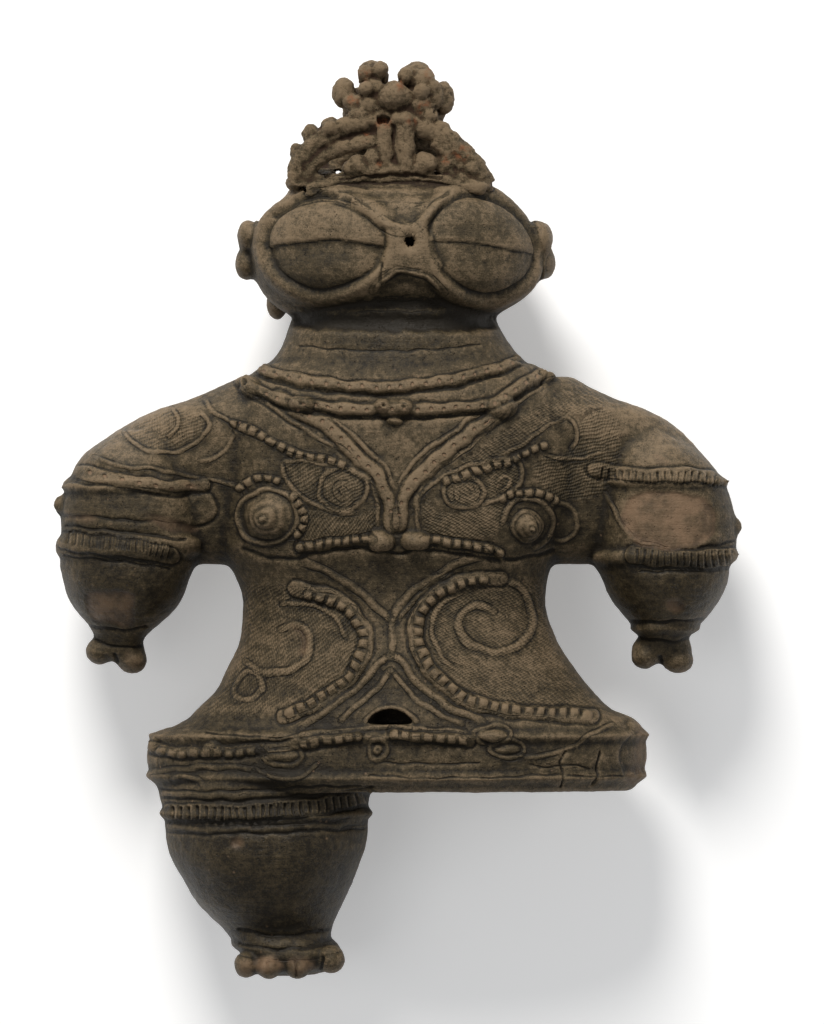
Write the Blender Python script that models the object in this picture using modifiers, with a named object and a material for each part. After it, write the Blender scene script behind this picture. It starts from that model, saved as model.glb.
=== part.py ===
"""Clay dogu figurine with goggle eyes and an openwork crown, lying on its back, one leg lost.

Metres, +Z up out of the chest, +Y towards the crown, +X towards the figure's own left side.
Every form is placed in a region of the body (leg, trunk, neck, head, crown, arm) that has its own
sizes below. Inside a region, a place is written in hundredths: across, of half the region's width;
up, of its height; out, of half its depth.
"""
import math

import bmesh
import bpy
import numpy as np
from mathutils import Vector
from mathutils.bvhtree import BVHTree

# Lengths along the body, sole to crown
LEG_LENGTH = 0.0698
TRUNK_HEIGHT = 0.1589
NECK_LENGTH = 0.0194
HEAD_HEIGHT = 0.0463
CROWN_HEIGHT = 0.0459
CROWN_SEAT = 0.0015
ARM_LENGTH = 0.0903

# Widths
HIP_WIDTH = 0.1898
SHOULDER_WIDTH = 0.2551
NECK_WIDTH = 0.0791
HEAD_WIDTH = 0.1108
CROWN_WIDTH = 0.0753
ARM_WIDTH = 0.0511
LEG_WIDTH = 0.0761

# Depths, back to front
BODY_DEPTH = 0.0880
ARM_DEPTH = 0.0560

# Offsets of the regions' middles from the figure's centre line
LEG_OFFSET = -0.0485
ARM_SPREAD = 0.1005
ARM_TILT = 0.0002

# Laid-on clay
CORD = 0.0019
FINE_CORD = 0.0014
CORD_LIFT = 0.55
BAND_RISE = 0.0020
RIM = 0.0025
LENS_RISE = 0.0068
LENS_ROOT = 0.0050
BREAST_RING = 0.0013
SLIT_DEPTH = 0.0022
NOSE_HOLE = 0.0021
NOSE_HOLE_DEPTH = 0.0090
SLOT_WIDTH = 0.0160
SLOT_HEIGHT = 0.0038
SLOT_DEPTH = 0.0120
EYELET = 0.0016
BREAK_WIDTH = 0.0310
BREAK_DEPTH = 0.0110
ARCH = 0.0044
ARCH_DEPTH = 0.0062
CROWN_KNOB = 0.0042

# Flat spots that the figure lies on: how far each cuts into the back
REST_CUT = 0.0020
FLAT_TOLERANCE = 0.00005

# Fineness of the solid
BODY_VOXEL = 0.0014
DETAIL_VOXEL = 0.0010
TRIANGLES = 9700
FRONT_CARE = 0.35
CARE_FACTOR = 0.00002
SIDES = 56
ROW_STEP = 0.003
CURVE_STEP = 0.0025
SECTION_POWER = 2.3

CLAY_COLOUR = (0.105, 0.083, 0.057, 1.0)
CLAY_ROUGHNESS = 0.72
NODE = "dogu_figurine"

MIDDLE = BODY_DEPTH / 2


class Region:
    """A stretch of the body with its own origin and sizes."""

    def __init__(self, x, y, half_width, height, half_depth=BODY_DEPTH / 2):
        self.x = x
        self.y = y
        self.half_width = half_width
        self.height = height
        self.half_depth = half_depth

    def place(self, across, up, out=0.0):
        return Vector((
            self.x + across / 100 * self.half_width,
            self.y + up / 100 * self.height,
            MIDDLE + out / 100 * self.half_depth,
        ))


LEG = Region(LEG_OFFSET, 0.0, LEG_WIDTH / 2, LEG_LENGTH)
TRUNK = Region(0.0, LEG_LENGTH, HIP_WIDTH / 2, TRUNK_HEIGHT)
YOKE = Region(0.0, LEG_LENGTH, SHOULDER_WIDTH / 2, TRUNK_HEIGHT)
NECK = Region(0.0, LEG_LENGTH + TRUNK_HEIGHT + NECK_LENGTH, NECK_WIDTH / 2, NECK_LENGTH)
HEAD = Region(0.0, NECK.y + HEAD_HEIGHT / 2, HEAD_WIDTH / 2, HEAD_HEIGHT / 2)
CROWN = Region(-0.0028, HEAD.y + HEAD_HEIGHT / 2 + CROWN_SEAT, CROWN_WIDTH / 2, CROWN_HEIGHT)
ARM_FOOT = LEG_LENGTH + TRUNK_HEIGHT * 0.277
RIGHT_ARM = Region(-ARM_SPREAD, ARM_FOOT, ARM_WIDTH / 2, ARM_LENGTH, ARM_DEPTH / 2)
LEFT_ARM = Region(ARM_SPREAD + ARM_TILT, ARM_FOOT, ARM_WIDTH / 2, ARM_LENGTH, ARM_DEPTH / 2)

# Outlines, each row (up, left edge, right edge, back, front), from low to high
LEG_ROWS = [
    (1, -6, 43, -27, 23), (3, -25, 67, -45, 41), (8, -29, 75, -55, 55), (13, -27, 73, -55, 55),
    (19, -34, 61, -48, 50), (25, -43, 62, -50, 50), (33, -58, 68, -59, 59), (41, -72, 75, -68, 68),
    (52, -83, 84, -80, 77), (61, -93, 90, -86, 82), (70, -99, 96, -89, 84), (79, -101, 98, -91, 84),
    (88, -102, 98, -91, 84), (100, -108, 100, -89, 84), (111, -91, 102, -82, 82),
]
TRUNK_ROWS = [
    (0, -94, 92, -88, 88), (3, -97, 96, -97, 96), (8, -99, 98, -98.5, 97), (13, -96, 97, -98, 96),
    (16, -84, 95, -96, 93), (19, -79, 84, -93, 91), (23, -72, 77, -91, 86), (29, -67, 69, -87, 82),
    (36, -62, 62, -82, 75), (44, -61, 58, -80, 70), (50, -64, 59, -81, 73), (58, -72, 66, -85, 82),
    (68, -75, 75, -89, 86), (80, -76, 79, -90, 86), (92, -68, 70, -84, 82), (100, -53, 54, -73, 68),
]
YOKE_ROWS = [
    (53, -90, 90, -18, 9), (56, -96, 97, -43, 32), (61, -98, 99, -55, 43), (66, -98, 98, -61, 50),
    (72, -96, 96, -66, 55), (77, -94, 91, -68, 59), (81, -88, 87, -70, 61), (85, -81, 82, -70, 64),
    (89, -72, 74, -68, 64), (92, -60, 63, -66, 61), (97, -46, 51, -59, 55),
]
NECK_ROWS = [
    (-154, -140, 139, -77, 73), (-115, -128, 129, -77, 70), (-69, -110, 108, -73, 66),
    (-15, -101, 93, -70, 64), (23, -92, 87, -59, 55),
]
HEAD_ROWS = [
    (-116, -64, 59, -27, 23), (-100, -76, 69, -50, 45), (-81, -87, 83, -74, 64), (-58, -94, 93, -90, 75),
    (-35, -98, 97, -98, 78), (0, -99, 98, -101, 79), (35, -96, 92, -97, 78), (61, -89, 85, -87, 75),
    (87, -76, 74, -72, 66), (106, -71, 63, -45, 41),
]
CROWN_ROWS = [
    (-5, -99, 99, -68, 50), (7, -95, 96, -66, 48), (13, -89, 89, -61, -14), (28, -67, 71, -59, -18),
    (40, -48, 55, -55, -23), (50, -48, 51, -50, -18), (62, -48, 58, -50, 36), (72, -45, 54, -41, 36),
    (78, -40, 50, -27, 27),
]
RIGHT_ARM_ROWS = [
    (10, -42, 16, -32, 32), (15, -50, 25, -43, 43), (19, -57, 42, -54, 54), (25, -76, 64, -71, 71),
    (31, -89, 79, -82, 82), (38, -96, 88, -93, 93), (45, -101, 99, -96, 96), (52, -99, 108, -100, 100),
    (63, -99, 112, -100, 100), (75, -92, 109, -96, 96), (88, -72, 98, -86, 86), (100, -16, 89, -54, 54),
]
LEFT_ARM_ROWS = [
    (10, -34, 25, -32, 32), (15, -41, 32, -43, 43), (19, -51, 45, -54, 54), (25, -69, 64, -71, 71),
    (31, -85, 79, -82, 82), (38, -95, 89, -93, 93), (45, -107, 92, -96, 96), (52, -108, 101, -100, 100),
    (63, -111, 99, -100, 100), (75, -108, 88, -96, 96), (88, -99, 58, -86, 86), (100, -85, 3, -54, 54),
]

# Cords laid on the body: (region, half thickness, places (across, up) along the cord)
CORDS = [
    (NECK, CORD, [(-135, -112), (-102, -130), (-75, -138), (-45, -144), (-16, -144), (20, -140), (60, -131),
                  (90, -119), (106, -108), (124, -92)]),
    (TRUNK, CORD, [(-64, 98), (-59, 94), (-50, 92), (-38, 91), (-22, 89), (-9, 88), (13, 89), (26, 89), (41, 90),
                   (54, 94), (62, 98)]),
    (TRUNK, CORD, [(-53, 93), (-43, 89), (-30, 85), (-20, 81), (-12, 76), (-6.5, 70), (-4, 64.6), (-3, 60)]),
    (TRUNK, CORD, [(59, 96), (48, 90), (35, 85), (23, 80), (14, 75), (7, 70), (3.5, 65), (3, 60)]),
    (TRUNK, FINE_CORD, [(-25, 87), (-13, 81), (-5, 75), (0, 71), (5, 74), (17, 80), (34, 87)]),
    (TRUNK, CORD, [(-45, 55.5), (-36, 57), (-24, 58), (-10, 58.3)]),
    (TRUNK, CORD, [(13, 58), (25, 56.5), (41, 55)]),
    (TRUNK, FINE_CORD, [(-57, 73), (-44, 71), (-37, 68), (-27, 65.7), (-16, 65.3), (-8, 68)]),
    (TRUNK, FINE_CORD, [(10, 60.6), (9, 66), (13, 70), (21, 73.2), (33, 76), (44, 76.8), (51, 74), (49, 69.5),
                        (40, 66)]),
    (TRUNK, FINE_CORD, [(-106, 83), (-99, 80.5), (-90, 79.6), (-81, 81), (-75, 84), (-76, 88)]),
    (TRUNK, FINE_CORD, [(-118, 78), (-111, 76), (-97, 75.4), (-82, 74), (-63, 71)]),
    (TRUNK, FINE_CORD, [(45, 80), (56, 79.3), (67, 77.7), (76, 78.6), (83, 81)]),
    (TRUNK, CORD, [(-43, 48.5), (-30, 47.4), (-20.8, 44.6), (-14, 40), (-12, 34.7), (-14, 29.6), (-20, 24.6),
                   (-29, 20), (-40, 16)]),
    (TRUNK, FINE_CORD, [(-37, 53), (-25, 52), (-15, 48.6), (-7, 44), (-3, 41.5), (3, 45), (13, 48.6), (24, 51),
                        (36, 52.6), (48, 53.3)]),
    (TRUNK, FINE_CORD, [(-45, 37.6), (-41, 38.7), (-36.5, 36.6), (-35.4, 33), (-38, 29.6), (-44, 27.5),
                        (-51, 27.7), (-55, 30)]),
    (TRUNK, CORD, [(28, 49.8), (16.5, 47), (8.6, 42.7), (6.3, 37.6), (8.6, 32.4), (13.8, 27.7), (21, 23.5),
                   (32, 20.7), (46, 18.5), (64, 17.4)]),
    (TRUNK, FINE_CORD, [(38, 43.2), (32, 44), (26.7, 41.8), (24.4, 38), (27, 34.5), (34, 32.4), (43, 33),
                        (50, 35.7), (53.4, 40), (52, 45)]),
    (TRUNK, FINE_CORD, [(-36.5, 13.8), (-21, 20.7), (-10, 27), (-3, 31.5), (3, 25.8), (10.6, 20.4),
                        (20.4, 17.4), (32, 16.4)]),
    (HEAD, CORD, [(-45, 92), (-30, 84), (-17, 68), (-6, 47), (3.4, 34), (10, 39), (18, 53), (27.6, 74),
                  (39, 89)]),
    (HEAD, FINE_CORD, [(-16, -58), (-4, -64), (9, -64), (24, -58)]),
]

# Cords on the back, plainer
BACK_CORDS = [
    (NECK, CORD, [(-135, -112), (-90, -128), (-45, -136), (0, -138), (45, -136), (90, -124), (124, -92)]),
    (TRUNK, CORD, [(-62, 96), (-40, 88), (-15, 84), (0, 83), (15, 84), (40, 88), (60, 97)]),
    (TRUNK, CORD, [(-56, 70), (-36, 62), (-14, 60), (0, 64), (14, 60), (36, 62), (56, 70)]),
    (TRUNK, FINE_CORD, [(-40, 48), (-22, 46), (-12, 38), (-16, 27), (-34, 21)]),
    (TRUNK, FINE_CORD, [(40, 48), (22, 46), (12, 38), (16, 27), (34, 21)]),
]

# Knobs and bosses on the body: (region, across, up, half width, half height, rise)
BOSSES = [
    (NECK, -135, -106, 0.0026, 0.0026, 0.0030), (NECK, 130, -96, 0.0026, 0.0026, 0.0030),
    (TRUNK, -59, 94.4, 0.0030, 0.0030, 0.0032), (TRUNK, 62.5, 98, 0.0030, 0.0030, 0.0032),
    (TRUNK, -38.5, 91, 0.0050, 0.0030, 0.0030), (TRUNK, 39.5, 90, 0.0050, 0.0030, 0.0030),
    (TRUNK, -4.3, 89.2, 0.0038, 0.0034, 0.0034), (TRUNK, 3.1, 89.2, 0.0038, 0.0034, 0.0034),
    (TRUNK, -5.1, 58.3, 0.0046, 0.0036, 0.0040), (TRUNK, 6.7, 58.3, 0.0046, 0.0036, 0.0040),
    (TRUNK, -20, 70.4, 0.0100, 0.0088, 0.0030), (TRUNK, 28, 69.5, 0.0078, 0.0058, 0.0026),
    (TRUNK, -49.5, 63, 0.0112, 0.0108, 0.0060), (TRUNK, 53, 61, 0.0082, 0.0080, 0.0056),
    (TRUNK, -59, 25, 0.0055, 0.0055, 0.0022),
    (TRUNK, -96.7, 10.5, 0.0026, 0.0026, 0.0028), (TRUNK, -79.8, 8.7, 0.0030, 0.0030, 0.0026),
    (TRUNK, -73, 9.4, 0.0034, 0.0034, 0.0028), (TRUNK, -46, 8.2, 0.0068, 0.0040, 0.0022),
    (TRUNK, -8.3, 9.4, 0.0046, 0.0042, 0.0026), (TRUNK, 38, 13.8, 0.0058, 0.0034, 0.0022),
    (TRUNK, 43, 9.6, 0.0064, 0.0028, 0.0022),
    (HEAD, 8, -28, 0.0080, 0.0110, 0.0022),
]
BREASTS = [(-49.5, 63, 0.0062), (53, 61, 0.0050)]
BREAST_RING_GROWTH = 1.55

# Goggles on the head: middle (across, up), half width and half height in hundredths
GOGGLES = [(-48.5, 2, 42, 74), (58, 2, 36, 76)]
GOGGLE_RIM_GROWTH = 1.12
RIM_POINTS = 36
SLITS = [
    [(-85, 4), (-69, 9), (-48.5, 11), (-28, 7), (-9, 0)],
    [(23, 11), (42, 10), (63, 4), (90, -2)],
]
EARS = [(-101, 23, 0), (-102.5, -21, -8), (97, 20, 0), (99, -20, -8)]
EAR_SIZE = (0.0042, 0.0062, 0.0080)

# Crown: front arches, pillar and the knobs along them, each knob (across, up, out, size)
ARCHES = [
    [(-92, -3), (-91, 14), (-77, 29), (-58, 40), (-34, 49), (-12, 52)],
    [(88, -3), (86, 11), (69, 26), (50, 37), (29, 47), (12, 52)],
]
ARCH_OUT = 40
PILLAR = [(3, 6), (3, 27), (1, 47)]
CROWN_KNOBS = [
    (-45, 75, 22, 1.0), (-19, 89, 22, 1.45), (27, 86, 22, 1.6), (48, 68, 22, 1.15), (-24, 76, 44, 0.75),
    (31, 74, 44, 0.85), (3, 70, 40, 1.6), (-78, 40, 34, 0.85), (-60, 44, 44, 0.85), (-91, 27, 34, 0.75),
    (55, 39, 40, 0.8), (62, 33, 30, 0.8), (80, 11, 42, 1.0), (93, -2, 34, 0.7), (-32, 14, 44, 1.1),
    (33, 17, 44, 1.0), (-96, 0, 30, 0.8),
]

# Raised bands round the limbs: (region, rows, low, high)
BANDS = [
    (RIGHT_ARM, RIGHT_ARM_ROWS, 74, 81), (RIGHT_ARM, RIGHT_ARM_ROWS, 47, 57),
    (LEFT_ARM, LEFT_ARM_ROWS, 76, 82), (LEFT_ARM, LEFT_ARM_ROWS, 44, 51),
    (LEFT_ARM, LEFT_ARM_ROWS, 15, 20), (LEG, LEG_ROWS, 84, 91), (LEG, LEG_ROWS, 13, 21),
    (TRUNK, TRUNK_ROWS, 1.5, 5), (TRUNK, TRUNK_ROWS, 11.5, 14.5),
]

# Hands and toes: (region, across, up, out, half width, half height, half depth)
ROUND_ENDS = [
    (RIGHT_ARM, -43, 8.5, 0, 0.0052, 0.0052, 0.0090), (RIGHT_ARM, 5, 5, 0, 0.0058, 0.0052, 0.0090),
    (RIGHT_ARM, -19, 10, 0, 0.0110, 0.0052, 0.0095),
    (LEFT_ARM, -33, 6.5, 0, 0.0052, 0.0048, 0.0090), (LEFT_ARM, 15, 4.8, 0, 0.0060, 0.0050, 0.0090),
    (LEFT_ARM, -8, 10, 0, 0.0115, 0.0055, 0.0095),
    (RIGHT_ARM, -97, 69, 10, 0.0032, 0.0036, 0.0040), (LEFT_ARM, 96, 60, 10, 0.0034, 0.0036, 0.0040),
    (LEG, -21, 7.5, 38, 0.0046, 0.0050, 0.0080), (LEG, 2, 6.5, 44, 0.0046, 0.0046, 0.0080),
    (LEG, 30, 6.5, 44, 0.0048, 0.0046, 0.0080), (LEG, 62, 10.5, 38, 0.0054, 0.0056, 0.0080),
]


def remove_all():
    for thing in list(bpy.data.objects):
        bpy.data.objects.remove(thing, do_unlink=True)


def collection(name):
    made = bpy.data.collections.new(name)
    bpy.context.scene.collection.children.link(made)
    return made


def add_object(name, mesh):
    thing = bpy.data.objects.new(name, mesh)
    bpy.context.scene.collection.objects.link(thing)
    return thing


def between(positions, values, wanted):
    """Values on a smooth curve through the given ones that never swings past them."""
    spans = np.diff(positions)
    slopes = np.diff(values) / spans
    tangents = np.zeros(len(values))
    tangents[0] = slopes[0]
    tangents[-1] = slopes[-1]
    for i in range(1, len(values) - 1):
        before, after = slopes[i - 1], slopes[i]
        if before * after > 0:
            tangents[i] = 2 * before * after / (before + after)
    index = np.clip(np.searchsorted(positions, wanted) - 1, 0, len(spans) - 1)
    span = spans[index]
    t = (wanted - positions[index]) / span
    return (
        values[index] * (1 + 2 * t) * (1 - t) ** 2
        + tangents[index] * span * t * (1 - t) ** 2
        + values[index + 1] * t * t * (3 - 2 * t)
        + tangents[index + 1] * span * t * t * (t - 1)
    )


def fine_rows(region, rows, low=None, high=None):
    """The rows of an outline in metres, a row every ROW_STEP: (y, left, right, back, front)."""
    table = np.array(rows, float)
    low = table[0, 0] if low is None else low
    high = table[-1, 0] if high is None else high
    count = max(3, int((high - low) / 100 * region.height / ROW_STEP) + 2)
    ups = np.linspace(low, high, count)
    columns = [between(table[:, 0], table[:, k], ups) for k in range(1, 5)]
    return [
        (
            region.y + up / 100 * region.height,
            region.x + left / 100 * region.half_width,
            region.x + right / 100 * region.half_width,
            MIDDLE + back / 100 * region.half_depth,
            MIDDLE + front / 100 * region.half_depth,
        )
        for up, left, right, back, front in zip(ups, *columns)
    ]


def ring_point(row, turn, grow=0.0):
    """A point of the rounded-square section that a row describes."""
    y, left, right, back, front = row
    c, s = math.cos(turn), math.sin(turn)
    half_width = (right - left) / 2 + grow
    half_depth = (front - back) / 2 + grow
    x = (left + right) / 2 + half_width * math.copysign(abs(c) ** (2 / SECTION_POWER), c)
    z = (back + front) / 2 + half_depth * math.copysign(abs(s) ** (2 / SECTION_POWER), s)
    return (x, y, z)


def loft(name, rows, grows=None):
    """A closed skin over a stack of sections."""
    mesh = bmesh.new()
    grows = grows or [0.0] * len(rows)
    turns = [2 * math.pi * k / SIDES for k in range(SIDES)]
    rings = [[mesh.verts.new(ring_point(row, t, g)) for t in turns] for row, g in zip(rows, grows)]
    for lower, upper in zip(rings, rings[1:]):
        for k in range(SIDES):
            after = (k + 1) % SIDES
            mesh.faces.new((lower[k], upper[k], upper[after], lower[after]))
    mesh.faces.new(rings[0])
    mesh.faces.new(list(reversed(rings[-1])))
    bmesh.ops.recalc_face_normals(mesh, faces=mesh.faces)
    data = bpy.data.meshes.new(name)
    mesh.to_mesh(data)
    mesh.free()
    return add_object(name, data)


def band(name, region, rows, low, high):
    """A rounded band of clay round a limb."""
    fine = fine_rows(region, rows, low, high)
    last = len(fine) - 1
    grows = [BAND_RISE * math.sin(math.pi * k / last) ** 0.5 for k in range(last + 1)]
    return loft(name, fine, grows)


def ball(name, centre, half_sizes):
    mesh = bmesh.new()
    bmesh.ops.create_uvsphere(mesh, u_segments=24, v_segments=14, radius=1.0)
    bmesh.ops.scale(mesh, vec=half_sizes, verts=mesh.verts)
    bmesh.ops.translate(mesh, vec=centre, verts=mesh.verts)
    data = bpy.data.meshes.new(name)
    mesh.to_mesh(data)
    mesh.free()
    return add_object(name, data)


def smooth_path(points, closed=False):
    """Points a short step apart on a curve through the given ones."""
    points = [Vector(p) for p in points]
    count = len(points)
    spans = count if closed else count - 1
    path = []
    for i in range(spans):
        p1, p2 = points[i], points[(i + 1) % count]
        p0 = points[(i - 1) % count] if closed or i else p1 - (p2 - p1)
        p3 = points[(i + 2) % count] if closed or i + 2 < count else p2 + (p2 - p1)
        steps = max(2, int((p2 - p1).length / CURVE_STEP))
        for k in range(steps):
            t = k / steps
            path.append(
                0.5 * (2 * p1 + (p2 - p0) * t + (2 * p0 - 5 * p1 + 4 * p2 - p3) * t * t
                       + (3 * p1 - p0 - 3 * p2 + p3) * t ** 3)
            )
    if not closed:
        path.append(points[-1])
    return path


def tube(name, path, radius, closed=False):
    """A round cord of clay along a path, as a closed mesh."""
    curve = bpy.data.curves.new(name, "CURVE")
    curve.dimensions = "3D"
    curve.bevel_depth = radius
    curve.bevel_resolution = 2
    curve.use_fill_caps = True
    spline = curve.splines.new("POLY")
    spline.points.add(len(path) - 1)
    for point, place in zip(spline.points, path):
        point.co = (*place, 1.0)
    spline.use_cyclic_u = closed
    guide = add_object(name + "_path", curve)
    bpy.context.view_layer.update()
    data = bpy.data.meshes.new_from_object(guide.evaluated_get(bpy.context.evaluated_depsgraph_get()))
    bpy.data.objects.remove(guide, do_unlink=True)
    mesh = bmesh.new()
    mesh.from_mesh(data)
    bmesh.ops.remove_doubles(mesh, verts=mesh.verts, dist=radius * 0.02)
    mesh.to_mesh(data)
    mesh.free()
    return add_object(name, data)


def join(name, things):
    """One object that holds the meshes of all the given ones."""
    mesh = bmesh.new()
    for thing in things:
        mesh.from_mesh(thing.data)
        bpy.data.objects.remove(thing, do_unlink=True)
    data = bpy.data.meshes.new(name)
    mesh.to_mesh(data)
    mesh.free()
    return add_object(name, data)


def apply_modifiers(thing):
    bpy.context.view_layer.update()
    data = bpy.data.meshes.new_from_object(thing.evaluated_get(bpy.context.evaluated_depsgraph_get()))
    thing.modifiers.clear()
    thing.data = data


def fuse(thing, voxel, smoothing):
    """One skin round everything the object holds, its creases softened."""
    remesh = thing.modifiers.new("fuse", "REMESH")
    remesh.mode = "VOXEL"
    remesh.voxel_size = voxel
    smooth = thing.modifiers.new("soften", "SMOOTH")
    smooth.factor = 0.5
    smooth.iterations = smoothing
    apply_modifiers(thing)


def surface_of(thing):
    mesh = bmesh.new()
    mesh.from_mesh(thing.data)
    tree = BVHTree.FromBMesh(mesh)
    mesh.free()
    return tree


def on_front(tree, x, y):
    """The front surface over a place, or the nearest surface beside the outline."""
    hit = tree.ray_cast(Vector((x, y, BODY_DEPTH * 2)), Vector((0, 0, -1)))[0]
    if hit is None:
        hit = tree.find_nearest(Vector((x, y, MIDDLE * 1.3)))[0]
    return hit


def on_back(tree, x, y):
    hit = tree.ray_cast(Vector((x, y, -BODY_DEPTH)), Vector((0, 0, 1)))[0]
    if hit is None:
        hit = tree.find_nearest(Vector((x, y, MIDDLE * 0.7)))[0]
    return hit


def body_forms():
    """Trunk, shoulders, neck, head, crown wall, arms and leg."""
    forms = [
        ("leg", LEG, LEG_ROWS), ("trunk", TRUNK, TRUNK_ROWS), ("shoulders", YOKE, YOKE_ROWS),
        ("neck", NECK, NECK_ROWS), ("head", HEAD, HEAD_ROWS), ("crown_wall", CROWN, CROWN_ROWS),
        ("right_arm", RIGHT_ARM, RIGHT_ARM_ROWS), ("left_arm", LEFT_ARM, LEFT_ARM_ROWS),
    ]
    made = [loft(name, fine_rows(region, rows)) for name, region, rows in forms]
    for number, (region, across, up, out, *half_sizes) in enumerate(ROUND_ENDS):
        made.append(ball(f"round_end_{number}", region.place(across, up, out), half_sizes))
    for number, (across, up, out) in enumerate(EARS):
        made.append(ball(f"ear_{number}", HEAD.place(across, up, out), EAR_SIZE))
    return made


def crown_forms():
    """Front arches, pillar and the knobs set along them."""
    made = []
    for number, arch in enumerate(ARCHES):
        path = smooth_path([CROWN.place(across, up, ARCH_OUT) for across, up in arch])
        made.append(tube(f"arch_{number}", path, ARCH))
        inner = [p + Vector((0, 0, -ARCH_DEPTH)) for p in path]
        made.append(tube(f"back_arch_{number}", inner, ARCH * 0.85))
    pillar = smooth_path([CROWN.place(across, up, ARCH_OUT - 6) for across, up in PILLAR])
    made.append(tube("pillar", pillar, ARCH))
    for number, (across, up, out, size) in enumerate(CROWN_KNOBS):
        knob = CROWN_KNOB * size
        made.append(ball(f"crown_knob_{number}", CROWN.place(across, up, out), (knob, knob, knob * 1.3)))
    return made


def goggle_forms(tree):
    """Domed lens and raised rim of each eye."""
    made = []
    for number, (across, up, wide, tall) in enumerate(GOGGLES):
        half_width = wide / 100 * HEAD.half_width
        half_height = tall / 100 * HEAD.height
        middle = HEAD.place(across, up)
        rim = []
        for k in range(RIM_POINTS):
            turn = 2 * math.pi * k / RIM_POINTS
            x = middle.x + half_width * GOGGLE_RIM_GROWTH * math.cos(turn)
            y = middle.y + half_height * GOGGLE_RIM_GROWTH * math.sin(turn)
            rim.append(on_front(tree, x, y) + Vector((0, 0, RIM * CORD_LIFT)))
        made.append(tube(f"goggle_rim_{number}", smooth_path(rim, closed=True), RIM, closed=True))
        lens = ball(f"goggle_lens_{number}", (0, 0, 0), (1, 1, 1))
        for vert in lens.data.vertices:
            height = vert.co.z * (LENS_RISE if vert.co.z > 0 else LENS_ROOT)
            face = on_front(tree, middle.x + vert.co.x * half_width, middle.y + vert.co.y * half_height)
            vert.co = face + Vector((0, 0, height))
        made.append(lens)
    return made


def laid_on_forms(tree):
    """Cords, bosses, breasts and bands laid on the finished body."""
    made = []
    for number, (region, radius, places) in enumerate(CORDS):
        flat = smooth_path([region.place(across, up) for across, up in places])
        path = [on_front(tree, p.x, p.y) + Vector((0, 0, radius * CORD_LIFT)) for p in flat]
        made.append(tube(f"cord_{number}", path, radius))
    for number, (region, radius, places) in enumerate(BACK_CORDS):
        flat = smooth_path([region.place(across, up) for across, up in places])
        path = [on_back(tree, p.x, p.y) for p in flat]
        made.append(tube(f"back_cord_{number}", path, radius))
    for number, (region, across, up, half_width, half_height, rise) in enumerate(BOSSES):
        place = region.place(across, up)
        centre = on_front(tree, place.x, place.y)
        made.append(ball(f"boss_{number}", centre, (half_width, half_height, rise)))
    for number, (across, up, radius) in enumerate(BREASTS):
        place = TRUNK.place(across, up)
        centre = on_front(tree, place.x, place.y) + Vector((0, 0, radius * 0.8))
        made.append(ball(f"breast_{number}", centre, (radius, radius, radius * 0.95)))
        ring = []
        for k in range(RIM_POINTS):
            turn = 2 * math.pi * k / RIM_POINTS
            reach = radius * BREAST_RING_GROWTH
            spot = on_front(tree, place.x + reach * math.cos(turn), place.y + reach * math.sin(turn))
            ring.append(spot + Vector((0, 0, radius * 0.55)))
        made.append(tube(f"breast_ring_{number}", ring, BREAST_RING, closed=True))
    for number, (region, rows, low, high) in enumerate(BANDS):
        made.append(band(f"band_{number}", region, rows, low, high))
    return made


def cutter_of(name, thing, holder):
    thing.name = name
    thing.hide_render = True
    thing.display_type = "WIRE"
    for owner in list(thing.users_collection):
        owner.objects.unlink(thing)
    holder.objects.link(thing)
    return thing


def rod(name, start, end, radius):
    return tube(name, [Vector(start), (Vector(start) + Vector(end)) / 2, Vector(end)], radius)


def cutters(tree, holder):
    """Eye slits, nose hole, belly slot, crown eyelet and the hollow of the broken hip."""
    made = []
    for number, places in enumerate(SLITS):
        flat = smooth_path([HEAD.place(across, up) for across, up in places])
        path = [on_front(tree, p.x, p.y) + Vector((0, 0, SLIT_DEPTH * -0.2)) for p in flat]
        made.append(cutter_of(f"slit_{number}", tube(f"slit_{number}", path, SLIT_DEPTH / 2), holder))
    nose = HEAD.place(9.4, 9.7)
    front = on_front(tree, nose.x, nose.y).z
    hole = rod("nose_hole", (nose.x, nose.y, front - NOSE_HOLE_DEPTH), (nose.x, nose.y, front + 0.01), NOSE_HOLE)
    made.append(cutter_of("nose_hole", hole, holder))
    slot = TRUNK.place(-3.5, 17.0)
    front = on_front(tree, slot.x, slot.y).z
    half_sizes = (SLOT_WIDTH / 2, SLOT_HEIGHT / 2, SLOT_DEPTH)
    made.append(cutter_of("belly_slot", ball("belly_slot", (slot.x, slot.y, front), half_sizes), holder))
    eyelet = CROWN.place(-51.5, 9.8)
    hole = rod("eyelet", (eyelet.x, eyelet.y, -0.01), (eyelet.x, eyelet.y, BODY_DEPTH + 0.01), EYELET)
    made.append(cutter_of("eyelet", hole, holder))
    hollow = TRUNK.place(44, -1.5)
    half_sizes = (BREAK_WIDTH / 2, BREAK_DEPTH, BREAK_WIDTH * 0.4)
    made.append(cutter_of("hip_hollow", ball("hip_hollow", hollow, half_sizes), holder))
    return made


def cut(thing, cutter):
    difference = thing.modifiers.new("cut_" + cutter.name, "BOOLEAN")
    difference.operation = "DIFFERENCE"
    difference.object = cutter
    apply_modifiers(thing)


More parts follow.
